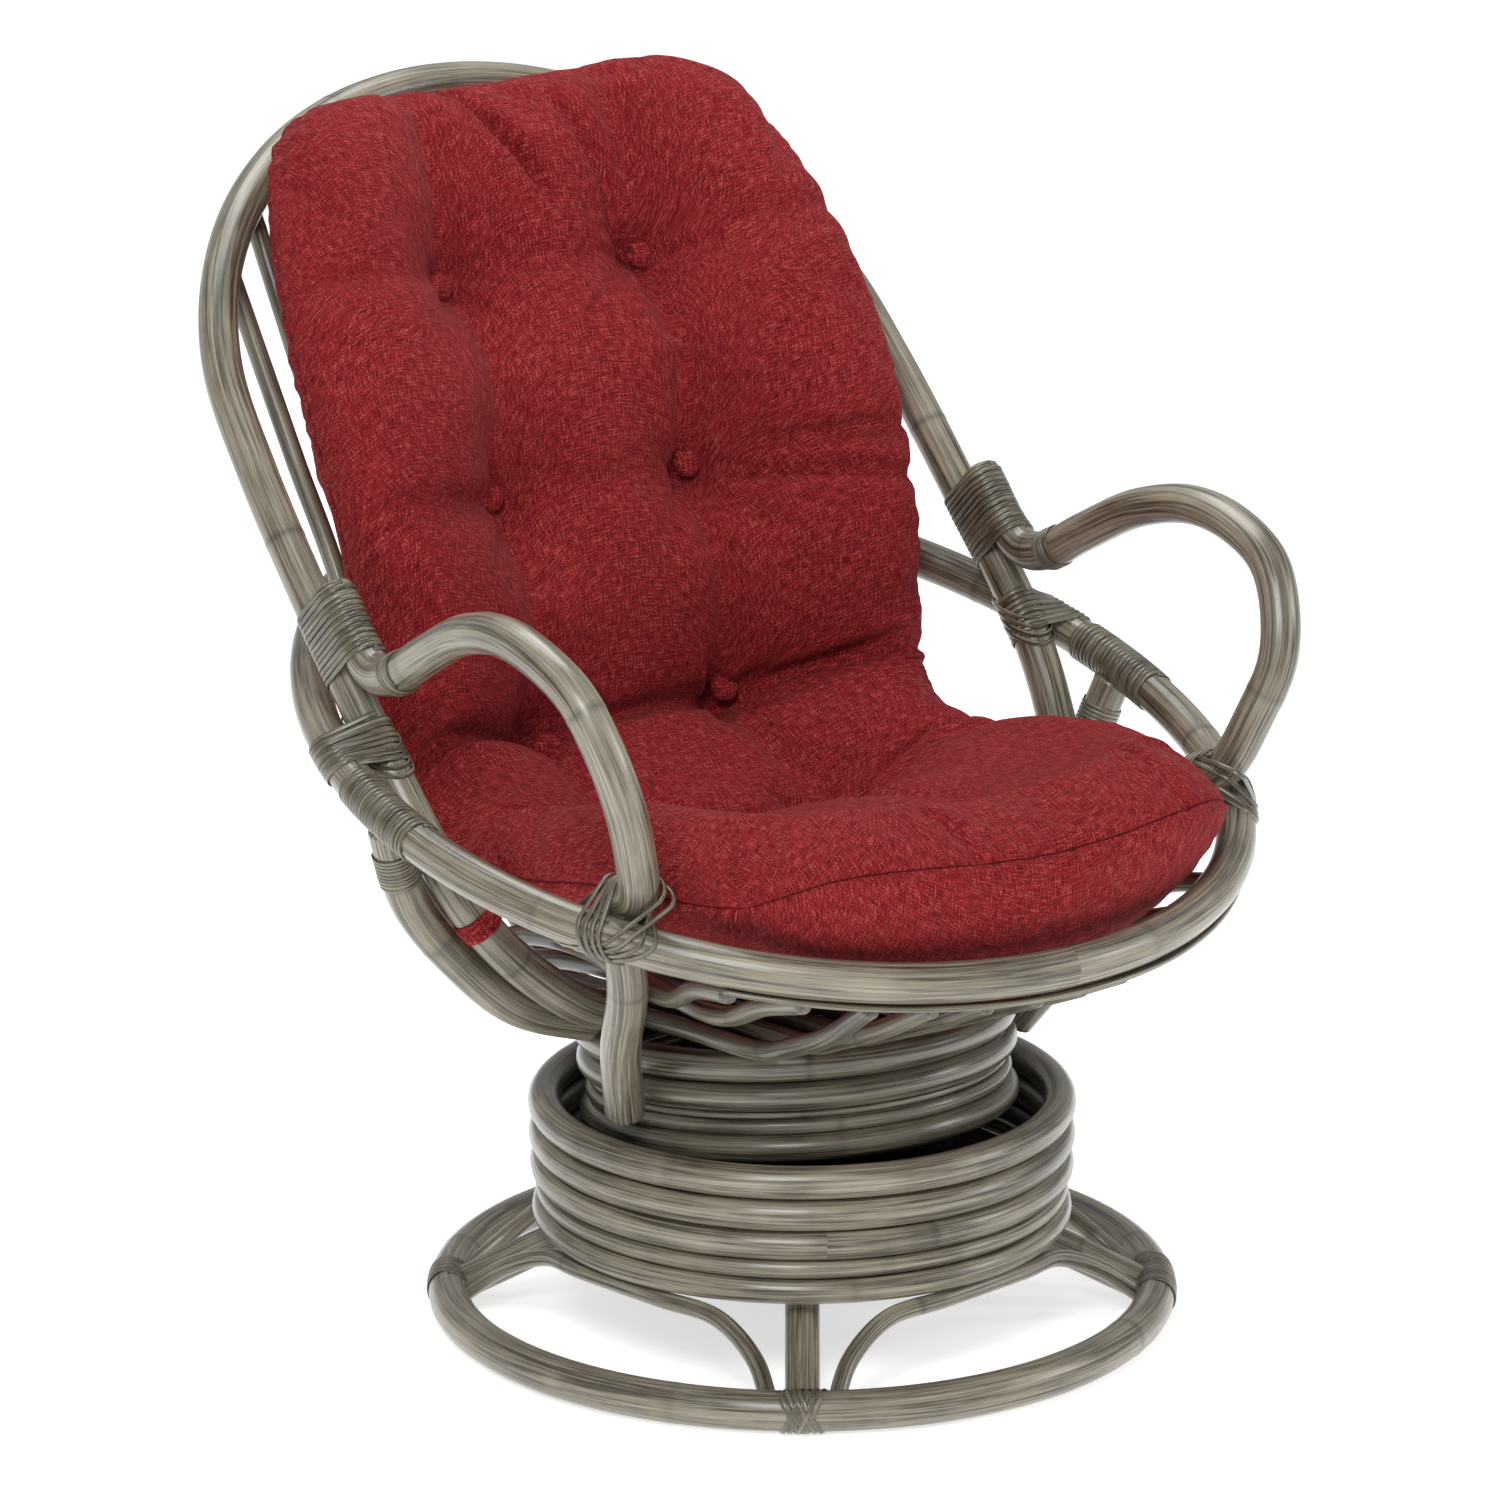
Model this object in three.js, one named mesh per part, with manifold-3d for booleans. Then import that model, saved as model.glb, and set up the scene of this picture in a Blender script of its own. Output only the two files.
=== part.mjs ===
// Swivel rocker armchair of rattan poles: a bent hoop back, a tilted seat hoop and one long tufted cushion.
// Millimetres, +Z up, the sitter faces -Y. The floor is z = 0 and the box is centred over the origin.
// The base's posts are turned off the sitter's axis. The whole seat leans about one shaft under it.
import * as THREE from 'three';
import { mergeVertices } from 'three/addons/utils/BufferGeometryUtils.js';
import Module from 'manifold-3d';

const wasm = await Module();
wasm.setup();

// Fits
const touchGap = 0.3;
const cutOverrun = 40;

// Floor ring and base
const floorRingRadius = 300;
const floorPoleRadius = 17;
const bindingFlatDepth = 0.5;
const postTurn = THREE.MathUtils.degToRad(36);
const postCount = 4;
const floorRingFacets = 32;
const postRadius = 14.5;
const postTopHeight = 100;
const postBendHeight = 84;
const braceRadius = 7.5;
const braceFootSide = 27.5;

// Drum of stacked rings, from the bottom one up
const drumRadius = 217.3;
const drumBottom = 80.5;
const ringFacets = 24;
const drumPoleRadii = [11, 8, 12.5, 13.5, 14];

// Mechanism
const boardThickness = 12;
const basePlateRadius = 88;
const basePlateThickness = 3;
const racePitchRadius = 66;
const raceHalfWidth = 5;
const raceHeight = 6;
const centrePinRadius = 8;
const turntableThickness = 3;
const pivotHeight = 150;
const stubRadius = 5;
const uprightThickness = 3;
const uprightSpan = 168;
const uprightDepth = 40;
const lugDepth = 34;
const rockerPlateDepth = 170;
const rockerPlateDrop = 27;
const springSpanX = 110;
const springSpanY = 124;
const springCoilRadius = 15;
const springWireRadius = 2.2;
const springCurls = 4;
const springCupHeight = 3;

// Lean of the whole seat at rest, back from level
const restLean = THREE.MathUtils.degToRad(5.5);

// Pedestal under the seat, heights in the level seat
const pedestalRadius = 174;
const pedestalBottomRadius = 11.75;
const pedestalPoleRadii = [11.75, 6.5, 3, 12.25, 13.5];
const seatBoardGap = 0.6;

// Seat hoop, in the level seat
const seatPoleRadius = 17;
const seatHoopHalfWidth = 380;
const seatHoopHalfLength = 414;
const seatHoopY = 5;
const seatHoopHeight = 505;
const seatHoopTilt = THREE.MathUtils.degToRad(20.5);
const seatHoopBow = 18;

// Back hoop, in its own plane that reclines through the crossing with the seat hoop
const backPoleRadius = 17;
const backLegInset = 45;
const backLegSplay = 4;
const backLegHalfWidth = seatHoopHalfWidth - backLegInset;
const backHalfWidth = backLegHalfWidth - backLegSplay;
const backCrossShare = 0.227;
const backCrossY = backCrossShare * seatHoopHalfLength;
const backCrossRise = 23;
const backCrossHeight = seatHoopHeight + backCrossRise;
const backRecline = THREE.MathUtils.degToRad(38.3);
const backArchCentre = 285;
const backFacets = 48;

// Arms, from their lap on the back hoop round to their feet beside the pedestal
const armPoleRadius = 17;
const armInset = 26;
const armHalfWidth = seatHoopHalfWidth - armInset;
const armForwardShare = 0.609;
const armForwardReach = armForwardShare * seatHoopHalfLength;
const armRise = 140;
const armTopHeight = seatHoopHeight + armRise;
const armFootHeight = 219;
const armLapReach = 137;
const armFootTurn = THREE.MathUtils.degToRad(10);
const armFacets = 28;

// Side bows, from the pedestal's top ring up to the seat hoop
const bowPoleRadius = 16.5;
const bowFacets = 12;
const bowY = 47;

// Flat peel strips that bind the joints
const stripThickness = 1.4;
const stripWidthShare = 0.8;
const footBindingPitch = 8;
const wideFootBindingPitch = 6;
const hoopBindingPitch = 11;
const hoopBindingLoops = 13;
const rimBindingPitch = 12;
const rimBindingLoops = 8;
const bowBindingPitch = 5;
const bowBindingLoops = 4;
const armLashingPitch = 6;
const armLashingLoops = 3;

// Cushion, one long pad over the seat and up the back
const cushionInset = 90;
const cushionHalfWidth = seatHoopHalfWidth - cushionInset;
const cushionUnder = 56;
const cushionOverHoop = 92.5;
const cushionCrown = 74;
const cushionEdgeRounding = 72;
const cushionUnderRounding = 130;
const tuftDepth = 34;
const tuftSpread = 46;
const tuftSpanShare = 1 / 3;
const tuftHalfSpan = tuftSpanShare * cushionHalfWidth;

// Ribs under the cushion and up the back, with a flat batten under their front ends
const ribRadius = 8.5;
const ribHalfCount = 6;
const ribSpanShare = 0.872;
const ribReach = ribSpanShare * cushionHalfWidth;
const ribPitch = ribReach / (ribHalfCount - 1 / 2);
const ribsOnPedestal = 4;
const ribRisePower = 0.75;
const ribUnderHoop = 23;
const ribInsideHoop = 12;
const battenInset = 118;
const battenHalfWidth = seatHoopHalfWidth - battenInset;
const battenWidth = 12;
const battenThickness = 4;

// Finishes
const washedRattan = new THREE.MeshStandardMaterial({ color: 0x8a8676, roughness: 0.45, metalness: 0 });
const peelStrip = new THREE.MeshStandardMaterial({ color: 0x8f8a74, roughness: 0.5, metalness: 0 });
const darkBoard = new THREE.MeshStandardMaterial({ color: 0x3a3630, roughness: 0.8, metalness: 0 });
const blackSteel = new THREE.MeshStandardMaterial({ color: 0x1b1b1d, roughness: 0.4, metalness: 0.8 });
const redCloth = new THREE.MeshStandardMaterial({ color: 0x96303a, roughness: 0.95, metalness: 0 });

// Side counts of the faceted tubes, and of the tools that cut them
const poleSides = 8;
const cutSides = 16;
const cutFacets = 56;
const bindingSides = 8;
const thinSides = 6;
const ribSides = 5;
const springSides = 4;

const tau = 2 * Math.PI;
const v3 = (x, y, z) => new THREE.Vector3(x, y, z);

// Geometry to solid and back
function toSolid(geometry) {
  const bare = geometry.clone();
  bare.deleteAttribute('normal');
  if (bare.getAttribute('uv')) bare.deleteAttribute('uv');
  const merged = mergeVertices(bare);
  return new wasm.Manifold(new wasm.Mesh({
    numProp: 3,
    vertProperties: new Float32Array(merged.getAttribute('position').array),
    triVerts: new Uint32Array(merged.getIndex().array),
  }));
}

function toGeometry(solid) {
  const mesh = solid.getMesh();
  const geometry = new THREE.BufferGeometry();
  geometry.setAttribute('position', new THREE.BufferAttribute(new Float32Array(mesh.vertProperties), 3));
  geometry.setIndex(new THREE.BufferAttribute(new Uint32Array(mesh.triVerts), 1));
  return geometry;
}

const joined = (...geometries) =>
  toGeometry(geometries.map(toSolid).reduce((whole, next) => whole.add(next)));
const cutFrom = (geometry, ...tools) =>
  toGeometry(tools.map(toSolid).reduce((whole, tool) => whole.subtract(tool), toSolid(geometry)));

// The mirror image in the sitter's plane of symmetry
function mirrored(geometry) {
  const twin = mergeVertices(geometry);
  const place = twin.getAttribute('position');
  for (let i = 0; i < place.count; i += 1) place.setX(i, -place.getX(i));
  const index = Array.from(twin.getIndex().array);
  for (let i = 0; i < index.length; i += 3) [index[i], index[i + 1]] = [index[i + 1], index[i]];
  twin.setIndex(index);
  twin.deleteAttribute('normal');
  return twin;
}

// Many-sided section with its first corner on the section's own axis
function roundSection(radius, sides) {
  const corners = [];
  for (let k = 0; k < sides; k += 1) {
    const turn = (tau * k) / sides;
    corners.push(new THREE.Vector2(radius * Math.cos(turn), radius * Math.sin(turn)));
  }
  return new THREE.Shape(corners);
}

function pole(curve, radius, steps, sides = poleSides) {
  return new THREE.ExtrudeGeometry(roundSection(radius, sides), { steps, extrudePath: curve });
}

const smoothPath = (points) => new THREE.CatmullRomCurve3(points, false, 'centripetal');

// A level ring of pole stock: a many-sided profile, with a corner at its top and bottom, turned about Z
function ringGeometry(radius, poleRadius, height, segments = ringFacets, sides = poleSides, startTurn = 0) {
  const profile = [];
  for (let k = 0; k <= sides; k += 1) {
    const turn = (tau * k) / sides;
    const [out, rise] = [poleRadius * Math.sin(turn), poleRadius * Math.cos(turn)];
    profile.push(new THREE.Vector2(radius + out, height + rise));
  }
  const ring = new THREE.LatheGeometry(profile, segments, startTurn);
  ring.rotateX(Math.PI / 2);
  return outwardFacing(ring);
}

// Turns a closed mesh right side out by the sign of its volume
function outwardFacing(geometry) {
  const bare = geometry.clone();
  bare.deleteAttribute('normal');
  if (bare.getAttribute('uv')) bare.deleteAttribute('uv');
  const merged = mergeVertices(bare);
  const place = merged.getAttribute('position');
  const index = Array.from(merged.getIndex().array);
  const [a, b, c] = [v3(), v3(), v3()];
  let volume = 0;
  for (let i = 0; i < index.length; i += 3) {
    a.fromBufferAttribute(place, index[i]);
    b.fromBufferAttribute(place, index[i + 1]);
    c.fromBufferAttribute(place, index[i + 2]);
    volume += a.dot(b.cross(c));
  }
  if (volume < 0) {
    for (let i = 0; i < index.length; i += 3) [index[i], index[i + 1]] = [index[i + 1], index[i]];
  }
  merged.setIndex(index);
  return merged;
}

function disc(radius, bottom, thickness, segments = ringFacets) {
  const slab = new THREE.CylinderGeometry(radius, radius, thickness, segments);
  slab.rotateX(Math.PI / 2);
  slab.translate(0, 0, bottom + thickness / 2);
  return slab;
}

function block(width, depth, height, x, y, bottom) {
  const box = new THREE.BoxGeometry(width, depth, height);
  box.translate(x, y, bottom + height / 2);
  return box;
}

// A pole's middle line as its facets have it: straight from joint to joint
class FacetedLine extends THREE.Curve {
  constructor(curve, facets) {
    super();
    this.curve = curve;
    this.facets = facets;
  }

  getPoint(t, target = v3()) {
    const facet = Math.min(Math.floor(t * this.facets), this.facets - 1);
    const next = this.curve.getPointAt((facet + 1) / this.facets);
    return target.copy(this.curve.getPointAt(facet / this.facets)).lerp(next, t * this.facets - facet);
  }

  getTangent(t, target = v3()) {
    return target.copy(this.curve.getTangentAt(t));
  }
}

// How far a pole reaches in a direction of the wrap's plane, under a strip of some width:
// a slanting pole's section is an oval, which shifts from one edge of the strip to the other
function poleReach({ centre, tangent, radius }, origin, along, out, width) {
  const upright = tangent.dot(along);
  const lean = tangent.clone().addScaledVector(along, -upright).divideScalar(upright);
  const slope = out.dot(lean);
  return centre.clone().sub(origin).dot(out) + radius * Math.hypot(1, slope) + Math.abs(slope) * (width / 2);
}

// A winding of flat strip: one unbroken band that climbs along a core, drawn tight round the poles it holds.
// core(share) gives the poles in the plane at that share of the climb, and the plane's axis and first side.
// A pole with from or to is held only by the turns that face it past or before that share.
const windingReport = [];
function winding(name, { loops, pitch, core, slack = touchGap }) {
  const width = pitch * stripWidthShare;
  const total = loops * bindingSides;
  const half = Math.PI / bindingSides;
  const corners = [];
  const middles = [];
  for (let k = 0; k <= total; k += 1) {
    const { poles, along, side } = core(k / total);
    const lift = v3().crossVectors(along, side).normalize();
    const toward = (turn) =>
      side.clone().multiplyScalar(Math.cos(turn)).addScaledVector(lift, Math.sin(turn));
    const origin = poles[0].centre;
    const reachAt = (place) => {
      const turn = 2 * half * (place - 0.5);
      const out = toward(turn);
      const held = poles.filter(({ centre, from = -Infinity, to = Infinity }) => {
        const offset = centre.clone().sub(origin);
        const facing = Math.atan2(offset.dot(lift), offset.dot(side));
        const past = Math.atan2(Math.sin(turn - facing), Math.cos(turn - facing)) / (2 * half);
        return from <= (place - past) / total && (place - past) / total <= to;
      });
      return Math.max(...held.map((pole) => poleReach(pole, origin, along, out, width))) + slack;
    };
    const [before, after] = [reachAt(k), reachAt(k + 1)];
    const turn = 2 * half * k;
    const [outward, onward] = [toward(turn), toward(turn + Math.PI / 2)];
    const low = origin.clone()
      .addScaledVector(outward, (before + after) / (2 * Math.cos(half)))
      .addScaledVector(onward, (after - before) / (2 * Math.sin(half)));
    const high = low.clone().addScaledVector(outward, stripThickness / Math.cos(half));
    const edge = along.clone().multiplyScalar(width / 2);
    corners.push(low.clone().sub(edge), low.clone().add(edge));
    corners.push(high.clone().add(edge), high.clone().sub(edge));
    middles.push(low);
  }
  const index = [];
  for (let k = 0; k < total; k += 1) {
    for (let s = 0; s < 4; s += 1) {
      const [a, b] = [4 * k + s, 4 * k + ((s + 1) % 4)];
      const [c, d] = [a + 4, b + 4];
      index.push(a, b, c, b, d, c);
    }
  }
  const last = 4 * total;
  index.push(0, 2, 1, 0, 3, 2, last, last + 1, last + 2, last, last + 2, last + 3);
  const band = new THREE.BufferGeometry();
  band.setAttribute('position', new THREE.Float32BufferAttribute(corners.flatMap((p) => p.toArray()), 3));
  band.setIndex(index);
  let least = Infinity;
  for (let i = 0; i + bindingSides < middles.length; i += 1) {
    least = Math.min(least, middles[i].distanceTo(middles[i + bindingSides]) - width);
  }
  windingReport.push(`${name} ${loops} loops, least gap to itself ${least.toFixed(2)}`);
  return outwardFacing(band);
}

// Heights of stacked rings, each touching the one under it
function stackHeights(radii, bottom) {
  const heights = [];
  let under = bottom;
  for (const radius of radii) {
    heights.push(under + radius);
    under += 2 * radius + touchGap;
  }
  return heights;
}

const root = new THREE.Group();
const chair = new THREE.Group();
const base = new THREE.Group();
const swivelled = new THREE.Group();
const seat = new THREE.Group();
const seatLevel = new THREE.Group();
base.rotation.z = -postTurn;
seat.position.set(0, 0, pivotHeight);
seat.rotation.x = -restLean;
seatLevel.position.set(0, 0, -pivotHeight);
seat.add(seatLevel);
chair.add(base, swivelled, seat);
root.add(chair);

function place(group, name, geometry, material) {
  const mesh = new THREE.Mesh(geometry, material);
  mesh.name = name;
  group.add(mesh);
  return mesh;
}

// Base: floor ring, drum rings, posts that bend out to the floor ring, thin braces arched between them
const boundRadius = (radius) => (radius + touchGap + stripThickness) / Math.cos(Math.PI / bindingSides);
const floorRingHeight = floorPoleRadius + touchGap + stripThickness - bindingFlatDepth;
const floorFacetTurn = Math.PI / floorRingFacets;
const floorRingOf = (radius, sides) =>
  ringGeometry(floorRingRadius, radius, floorRingHeight, floorRingFacets, sides, floorFacetTurn);
place(base, 'floor_ring', floorRingOf(floorPoleRadius, poleSides), washedRattan);

const drumHeights = stackHeights(drumPoleRadii, drumBottom);
drumPoleRadii.forEach((radius, k) => {
  const sides = radius < postRadius / 1.5 ? thinSides : poleSides;
  const ring = ringGeometry(drumRadius, radius, drumHeights[k], ringFacets, sides);
  place(base, `drum_ring_${k + 1}`, ring, washedRattan);
});

const cutRadius = (radius) => (radius + touchGap) / Math.cos(Math.PI / cutSides);
const boundRing = floorRingOf(cutRadius(boundRadius(floorPoleRadius)), cutSides);
const bareRing = floorRingOf(cutRadius(floorPoleRadius), cutSides);
const postTopReach = drumRadius - drumPoleRadii[0] - postRadius - touchGap;

function postPath() {
  const outShares = [0, 0, 0.06, 0.38, 1];
  const heightShares = [1, 0.8, 0.585, 0.37, 0];
  const reach = floorRingRadius - postTopReach;
  const rise = postTopHeight - floorRingHeight;
  return smoothPath(outShares.map((share, k) => v3(
    0,
    -(postTopReach + share * reach),
    k === 1 ? postBendHeight : floorRingHeight + heightShares[k] * rise,
  )));
}

// A brace rises beside one post's foot, runs under the drum, and comes down beside the next post
function bracePath() {
  const footTurn = braceFootSide / floorRingRadius;
  const quarter = tau / postCount;
  const underDrum = drumBottom - 2 * touchGap - braceRadius;
  const turnShares = [0, 0.045, 0.16, 0.34];
  const reachShares = [1, 0.55, 0.13, 0.01];
  const heightShares = [0, 0.5, 0.9, 1];
  const oneSide = turnShares.map((share, k) => [
    footTurn + share * (quarter - 2 * footTurn),
    drumRadius + reachShares[k] * (floorRingRadius - drumRadius),
    floorRingHeight + heightShares[k] * (underDrum - floorRingHeight),
  ]);
  const otherSide = oneSide.map(([turn, reach, height]) => [quarter - turn, reach, height]).reverse();
  return smoothPath([...oneSide, ...otherSide].map(([turn, reach, height]) =>
    v3(reach * Math.sin(turn), -reach * Math.cos(turn), height)));
}

const postShape = cutFrom(pole(postPath(), postRadius, 8), boundRing);
const braceShape = cutFrom(pole(bracePath(), braceRadius, 14, thinSides), bareRing);
const floorLevel = block(4 * floorRingRadius, 4 * floorRingRadius, cutOverrun, 0, 0, -cutOverrun);
const footBindingLoops = [4, 6, 4, 4];
const quarterNames = ['front', 'right', 'rear', 'left'];

// The largest of the bodies that a cut leaves
function largestBody(geometry) {
  const bodies = toSolid(geometry).decompose();
  return toGeometry(bodies.reduce((most, body) => (body.volume() > most.volume() ? body : most)));
}

quarterNames.forEach((quarterName, k) => {
  const quarter = new THREE.Group();
  quarter.rotation.z = (tau * k) / postCount;
  base.add(quarter);
  place(quarter, `post_${quarterName}`, largestBody(postShape), washedRattan);
  place(quarter, `brace_${quarterName}`, largestBody(braceShape), washedRattan);
  const loops = footBindingLoops[k];
  const pitch = k === 1 ? wideFootBindingPitch : footBindingPitch;
  const facetReach = floorRingRadius * Math.cos(floorFacetTurn);
  const wrap = winding(`foot_binding_${quarterName}`, {
    loops,
    pitch,
    core: (share) => ({
      poles: [{
        centre: v3((share - 0.5) * loops * pitch, -facetReach, floorRingHeight),
        tangent: v3(1, 0, 0),
        radius: floorPoleRadius,
      }],
      along: v3(1, 0, 0),
      side: v3(0, -1, 0).applyAxisAngle(v3(1, 0, 0), Math.PI / bindingSides),
    }),
  });
  place(quarter, `foot_binding_${quarterName}`, cutFrom(wrap, floorLevel), peelStrip);
});

// Board on the post tops, and the fixed plate with its ball race and centre pin
const boardRadius = drumRadius - drumPoleRadii[2] - 2 * touchGap;
const boardBottom = postTopHeight + touchGap;
const plateBottom = boardBottom + boardThickness + touchGap;
const raceTop = plateBottom + basePlateThickness + raceHeight;
const turntableBottom = raceTop + touchGap;
const turntableTop = turntableBottom + turntableThickness;
const pinTop = turntableTop + springCupHeight;
place(base, 'drum_board', disc(boardRadius, boardBottom, boardThickness), darkBoard);

function turnedProfile(points, segments) {
  const turned = new THREE.LatheGeometry(points.map(([r, z]) => new THREE.Vector2(r, z)), segments);
  turned.rotateX(Math.PI / 2);
  return outwardFacing(turned);
}

const plateTop = plateBottom + basePlateThickness;
place(base, 'swivel_base_plate', turnedProfile([
  [0, plateBottom],
  [basePlateRadius, plateBottom],
  [basePlateRadius, plateTop],
  [racePitchRadius + raceHalfWidth, plateTop],
  [racePitchRadius + raceHalfWidth, raceTop],
  [racePitchRadius - raceHalfWidth, raceTop],
  [racePitchRadius - raceHalfWidth, plateTop],
  [centrePinRadius, plateTop],
  [centrePinRadius, pinTop],
  [0, pinTop],
], 18), blackSteel);

// Turning plate with its uprights and pivot stubs
const stubSides = 8;
function acrossX(radius, length, x, z) {
  const rod = new THREE.CylinderGeometry(radius, radius, length, stubSides);
  rod.rotateZ(Math.PI / 2);
  rod.translate(x, 0, z);
  return rod;
}

const lugInner = uprightSpan / 2 + uprightThickness + touchGap;
const stubLength = 3 * uprightThickness;
const stubReach = (uprightSpan + uprightThickness + stubLength) / 2;
const springPlaces = [-1, 1].flatMap((sx) =>
  [-1, 1].map((sy) => [(sx * springSpanX) / 2, (sy * springSpanY) / 2]));
const cups = (bottom, segments = 8) => springPlaces.map(([x, y]) => {
  const cup = disc(springCoilRadius - springWireRadius - touchGap, bottom, springCupHeight, segments);
  cup.translate(x, y, 0);
  return cup;
});
const turntableBlank = joined(
  disc(basePlateRadius, turntableBottom, turntableThickness, 18),
  ...[-1, 1].map((sx) => block(
    uprightThickness,
    uprightDepth,
    pivotHeight + 2 * stubRadius - turntableBottom - turntableThickness / 2,
    (sx * (uprightSpan + uprightThickness)) / 2,
    0,
    turntableBottom + turntableThickness / 2,
  )),
  ...[-1, 1].map((sx) => acrossX(stubRadius, stubLength, sx * stubReach, pivotHeight)),
  ...cups(turntableTop - turntableThickness / 2),
);
place(swivelled, 'turntable', cutFrom(
  turntableBlank,
  disc(centrePinRadius + 2 * touchGap, turntableBottom - cutOverrun, 2 * cutOverrun, 18),
), blackSteel);

// Rocker plate in the level seat, with lugs round the stubs
const rockerBottom = pivotHeight + rockerPlateDrop;
const rockerTop = rockerBottom + basePlateThickness;
const lugOuter = lugInner + uprightThickness;
const lugBottom = pivotHeight - lugDepth / 2;
place(seatLevel, 'rocker_plate', cutFrom(
  joined(
    block(2 * lugOuter, rockerPlateDepth, basePlateThickness, 0, 0, rockerBottom),
    ...[-1, 1].map((sx) => block(
      uprightThickness,
      lugDepth,
      rockerTop - lugBottom,
      sx * (lugInner + uprightThickness / 2),
      0,
      lugBottom,
    )),
  ),
  acrossX((stubRadius + touchGap) / Math.cos(Math.PI / stubSides), 4 * basePlateRadius, 0, pivotHeight),
), blackSteel);

// Coil springs, upright between the plates, cut to the leaning plate above
springPlaces.forEach(([x, y], k) => {
  const plateAbove = pivotHeight + rockerPlateDrop * Math.cos(restLean) - y * Math.sin(restLean);
  const wireMargin = springWireRadius + touchGap;
  const low = turntableTop + wireMargin;
  const slope = (springCoilRadius + springWireRadius) * Math.sin(restLean);
  const high = plateAbove - slope - wireMargin;
  class Coil extends THREE.Curve {
    getPoint(t, target = v3()) {
      const turn = tau * springCurls * t;
      return target.set(
        x + springCoilRadius * Math.cos(turn),
        y + springCoilRadius * Math.sin(turn),
        low + (high - low) * t,
      );
    }
  }
  const side = `${y < 0 ? 'front' : 'rear'}_${x < 0 ? 'left' : 'right'}`;
  const coil = pole(new Coil(), springWireRadius, springCurls * 7, springSides);
  place(swivelled, `spring_${side}`, coil, blackSteel);
  const gap = (high - low) / springCurls - 2 * springWireRadius;
  windingReport.push(`spring_${side} ${springCurls} curls, least gap to itself ${gap.toFixed(2)}`);
});

// Pedestal: rings under the seat, with the seat board inside the lowest one
const seatBoardBottom = rockerTop + touchGap;
const pedestalBottom = seatBoardBottom + boardThickness / 2 + touchGap - pedestalBottomRadius;
const pedestalHeights = stackHeights(pedestalPoleRadii, pedestalBottom);
const pedestalNames = ['ring_low', 'cord_thick', 'cord_thin', 'ring_high', 'ring_top'];
place(seatLevel, 'seat_board', disc(
  pedestalRadius - pedestalBottomRadius - seatBoardGap,
  seatBoardBottom,
  boardThickness,
  ringFacets,
), darkBoard);
pedestalPoleRadii.forEach((radius, k) => {
  const sides = radius < pedestalBottomRadius ? thinSides : poleSides;
  const ring = ringGeometry(pedestalRadius, radius, pedestalHeights[k], ringFacets, sides);
  place(seatLevel, `pedestal_${pedestalNames[k]}`, ring, washedRattan);
});
const pedestalTop = pedestalHeights[4] + pedestalPoleRadii[4];

// Seat hoop: a tilted oval whose sides dip a little
class SeatHoop extends THREE.Curve {
  getPoint(t, target = v3()) {
    const turn = tau * t;
    const along = -seatHoopHalfLength * Math.cos(turn);
    const dip = -seatHoopBow * Math.sin(turn) ** 2;
    return target.set(
      seatHoopHalfWidth * Math.sin(turn),
      seatHoopY + along * Math.cos(seatHoopTilt) - dip * Math.sin(seatHoopTilt),
      seatHoopHeight + along * Math.sin(seatHoopTilt) + dip * Math.cos(seatHoopTilt),
    );
  }
}
const seatHoop = new SeatHoop();
const seatHoopFacets = 44;
const seatHoopShape = new THREE.TubeGeometry(seatHoop, seatHoopFacets, seatPoleRadius, poleSides, true);
place(seatLevel, 'seat_hoop', outwardFacing(seatHoopShape), washedRattan);

// The hoop's point at a given x, on its front or rear half
function hoopAt(x, rear) {
  const turn = Math.asin(x / seatHoopHalfWidth);
  return seatHoop.getPoint((rear ? Math.PI - turn : turn) / tau);
}

// Back hoop: an arch on straight legs that turn in under the seat to the pedestal
const backUp = v3(0, Math.sin(backRecline), Math.cos(backRecline));
const backFront = v3(0, -Math.cos(backRecline), Math.sin(backRecline));
const backFoot = v3(0, backCrossY, backCrossHeight);
const backPlace = (x, up) => backFoot.clone().addScaledVector(backUp, up).setX(x);
const legSeatHeight = pedestalTop + touchGap + backPoleRadius;

function backRightHalf() {
  const points = [];
  const archSteps = 6;
  for (let k = 0; k < archSteps; k += 1) {
    const turn = (Math.PI / 2) * (k / archSteps);
    points.push(backPlace(backHalfWidth * Math.sin(turn), backArchCentre + backHalfWidth * Math.cos(turn)));
  }
  points.push(backPlace(backHalfWidth, backArchCentre * 0.95));
  points.push(backPlace(backLegHalfWidth, backArchCentre * 0.45));
  points.push(backPlace(backLegHalfWidth, 0));
  const legShares = [
    [0.938, 0.49, 0.69],
    [0.823, 0.16, 0.45],
    [0.542, 0.17, 0.235],
    [0.168, 0.18, 0.05],
    [-0.06, 0.18, 0],
  ];
  for (const [xShare, yShare, zShare] of legShares) {
    points.push(v3(
      pedestalRadius + xShare * (backLegHalfWidth - pedestalRadius),
      yShare * backCrossY,
      legSeatHeight + zShare * (backCrossHeight - legSeatHeight),
    ));
  }
  return points;
}
const rightHalf = backRightHalf();
const leftHalf = rightHalf.slice(1).map((p) => v3(-p.x, p.y, p.z)).reverse();
const backCurve = smoothPath([...leftHalf, ...rightHalf]);
const topRingCut = ringGeometry(
  pedestalRadius,
  cutRadius(pedestalPoleRadii[4]),
  pedestalHeights[4],
  cutFacets,
  cutSides,
);
const backShape = cutFrom(pole(backCurve, backPoleRadius, backFacets), topRingCut);
place(seatLevel, 'back_hoop', largestBody(backShape), washedRattan);

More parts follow.
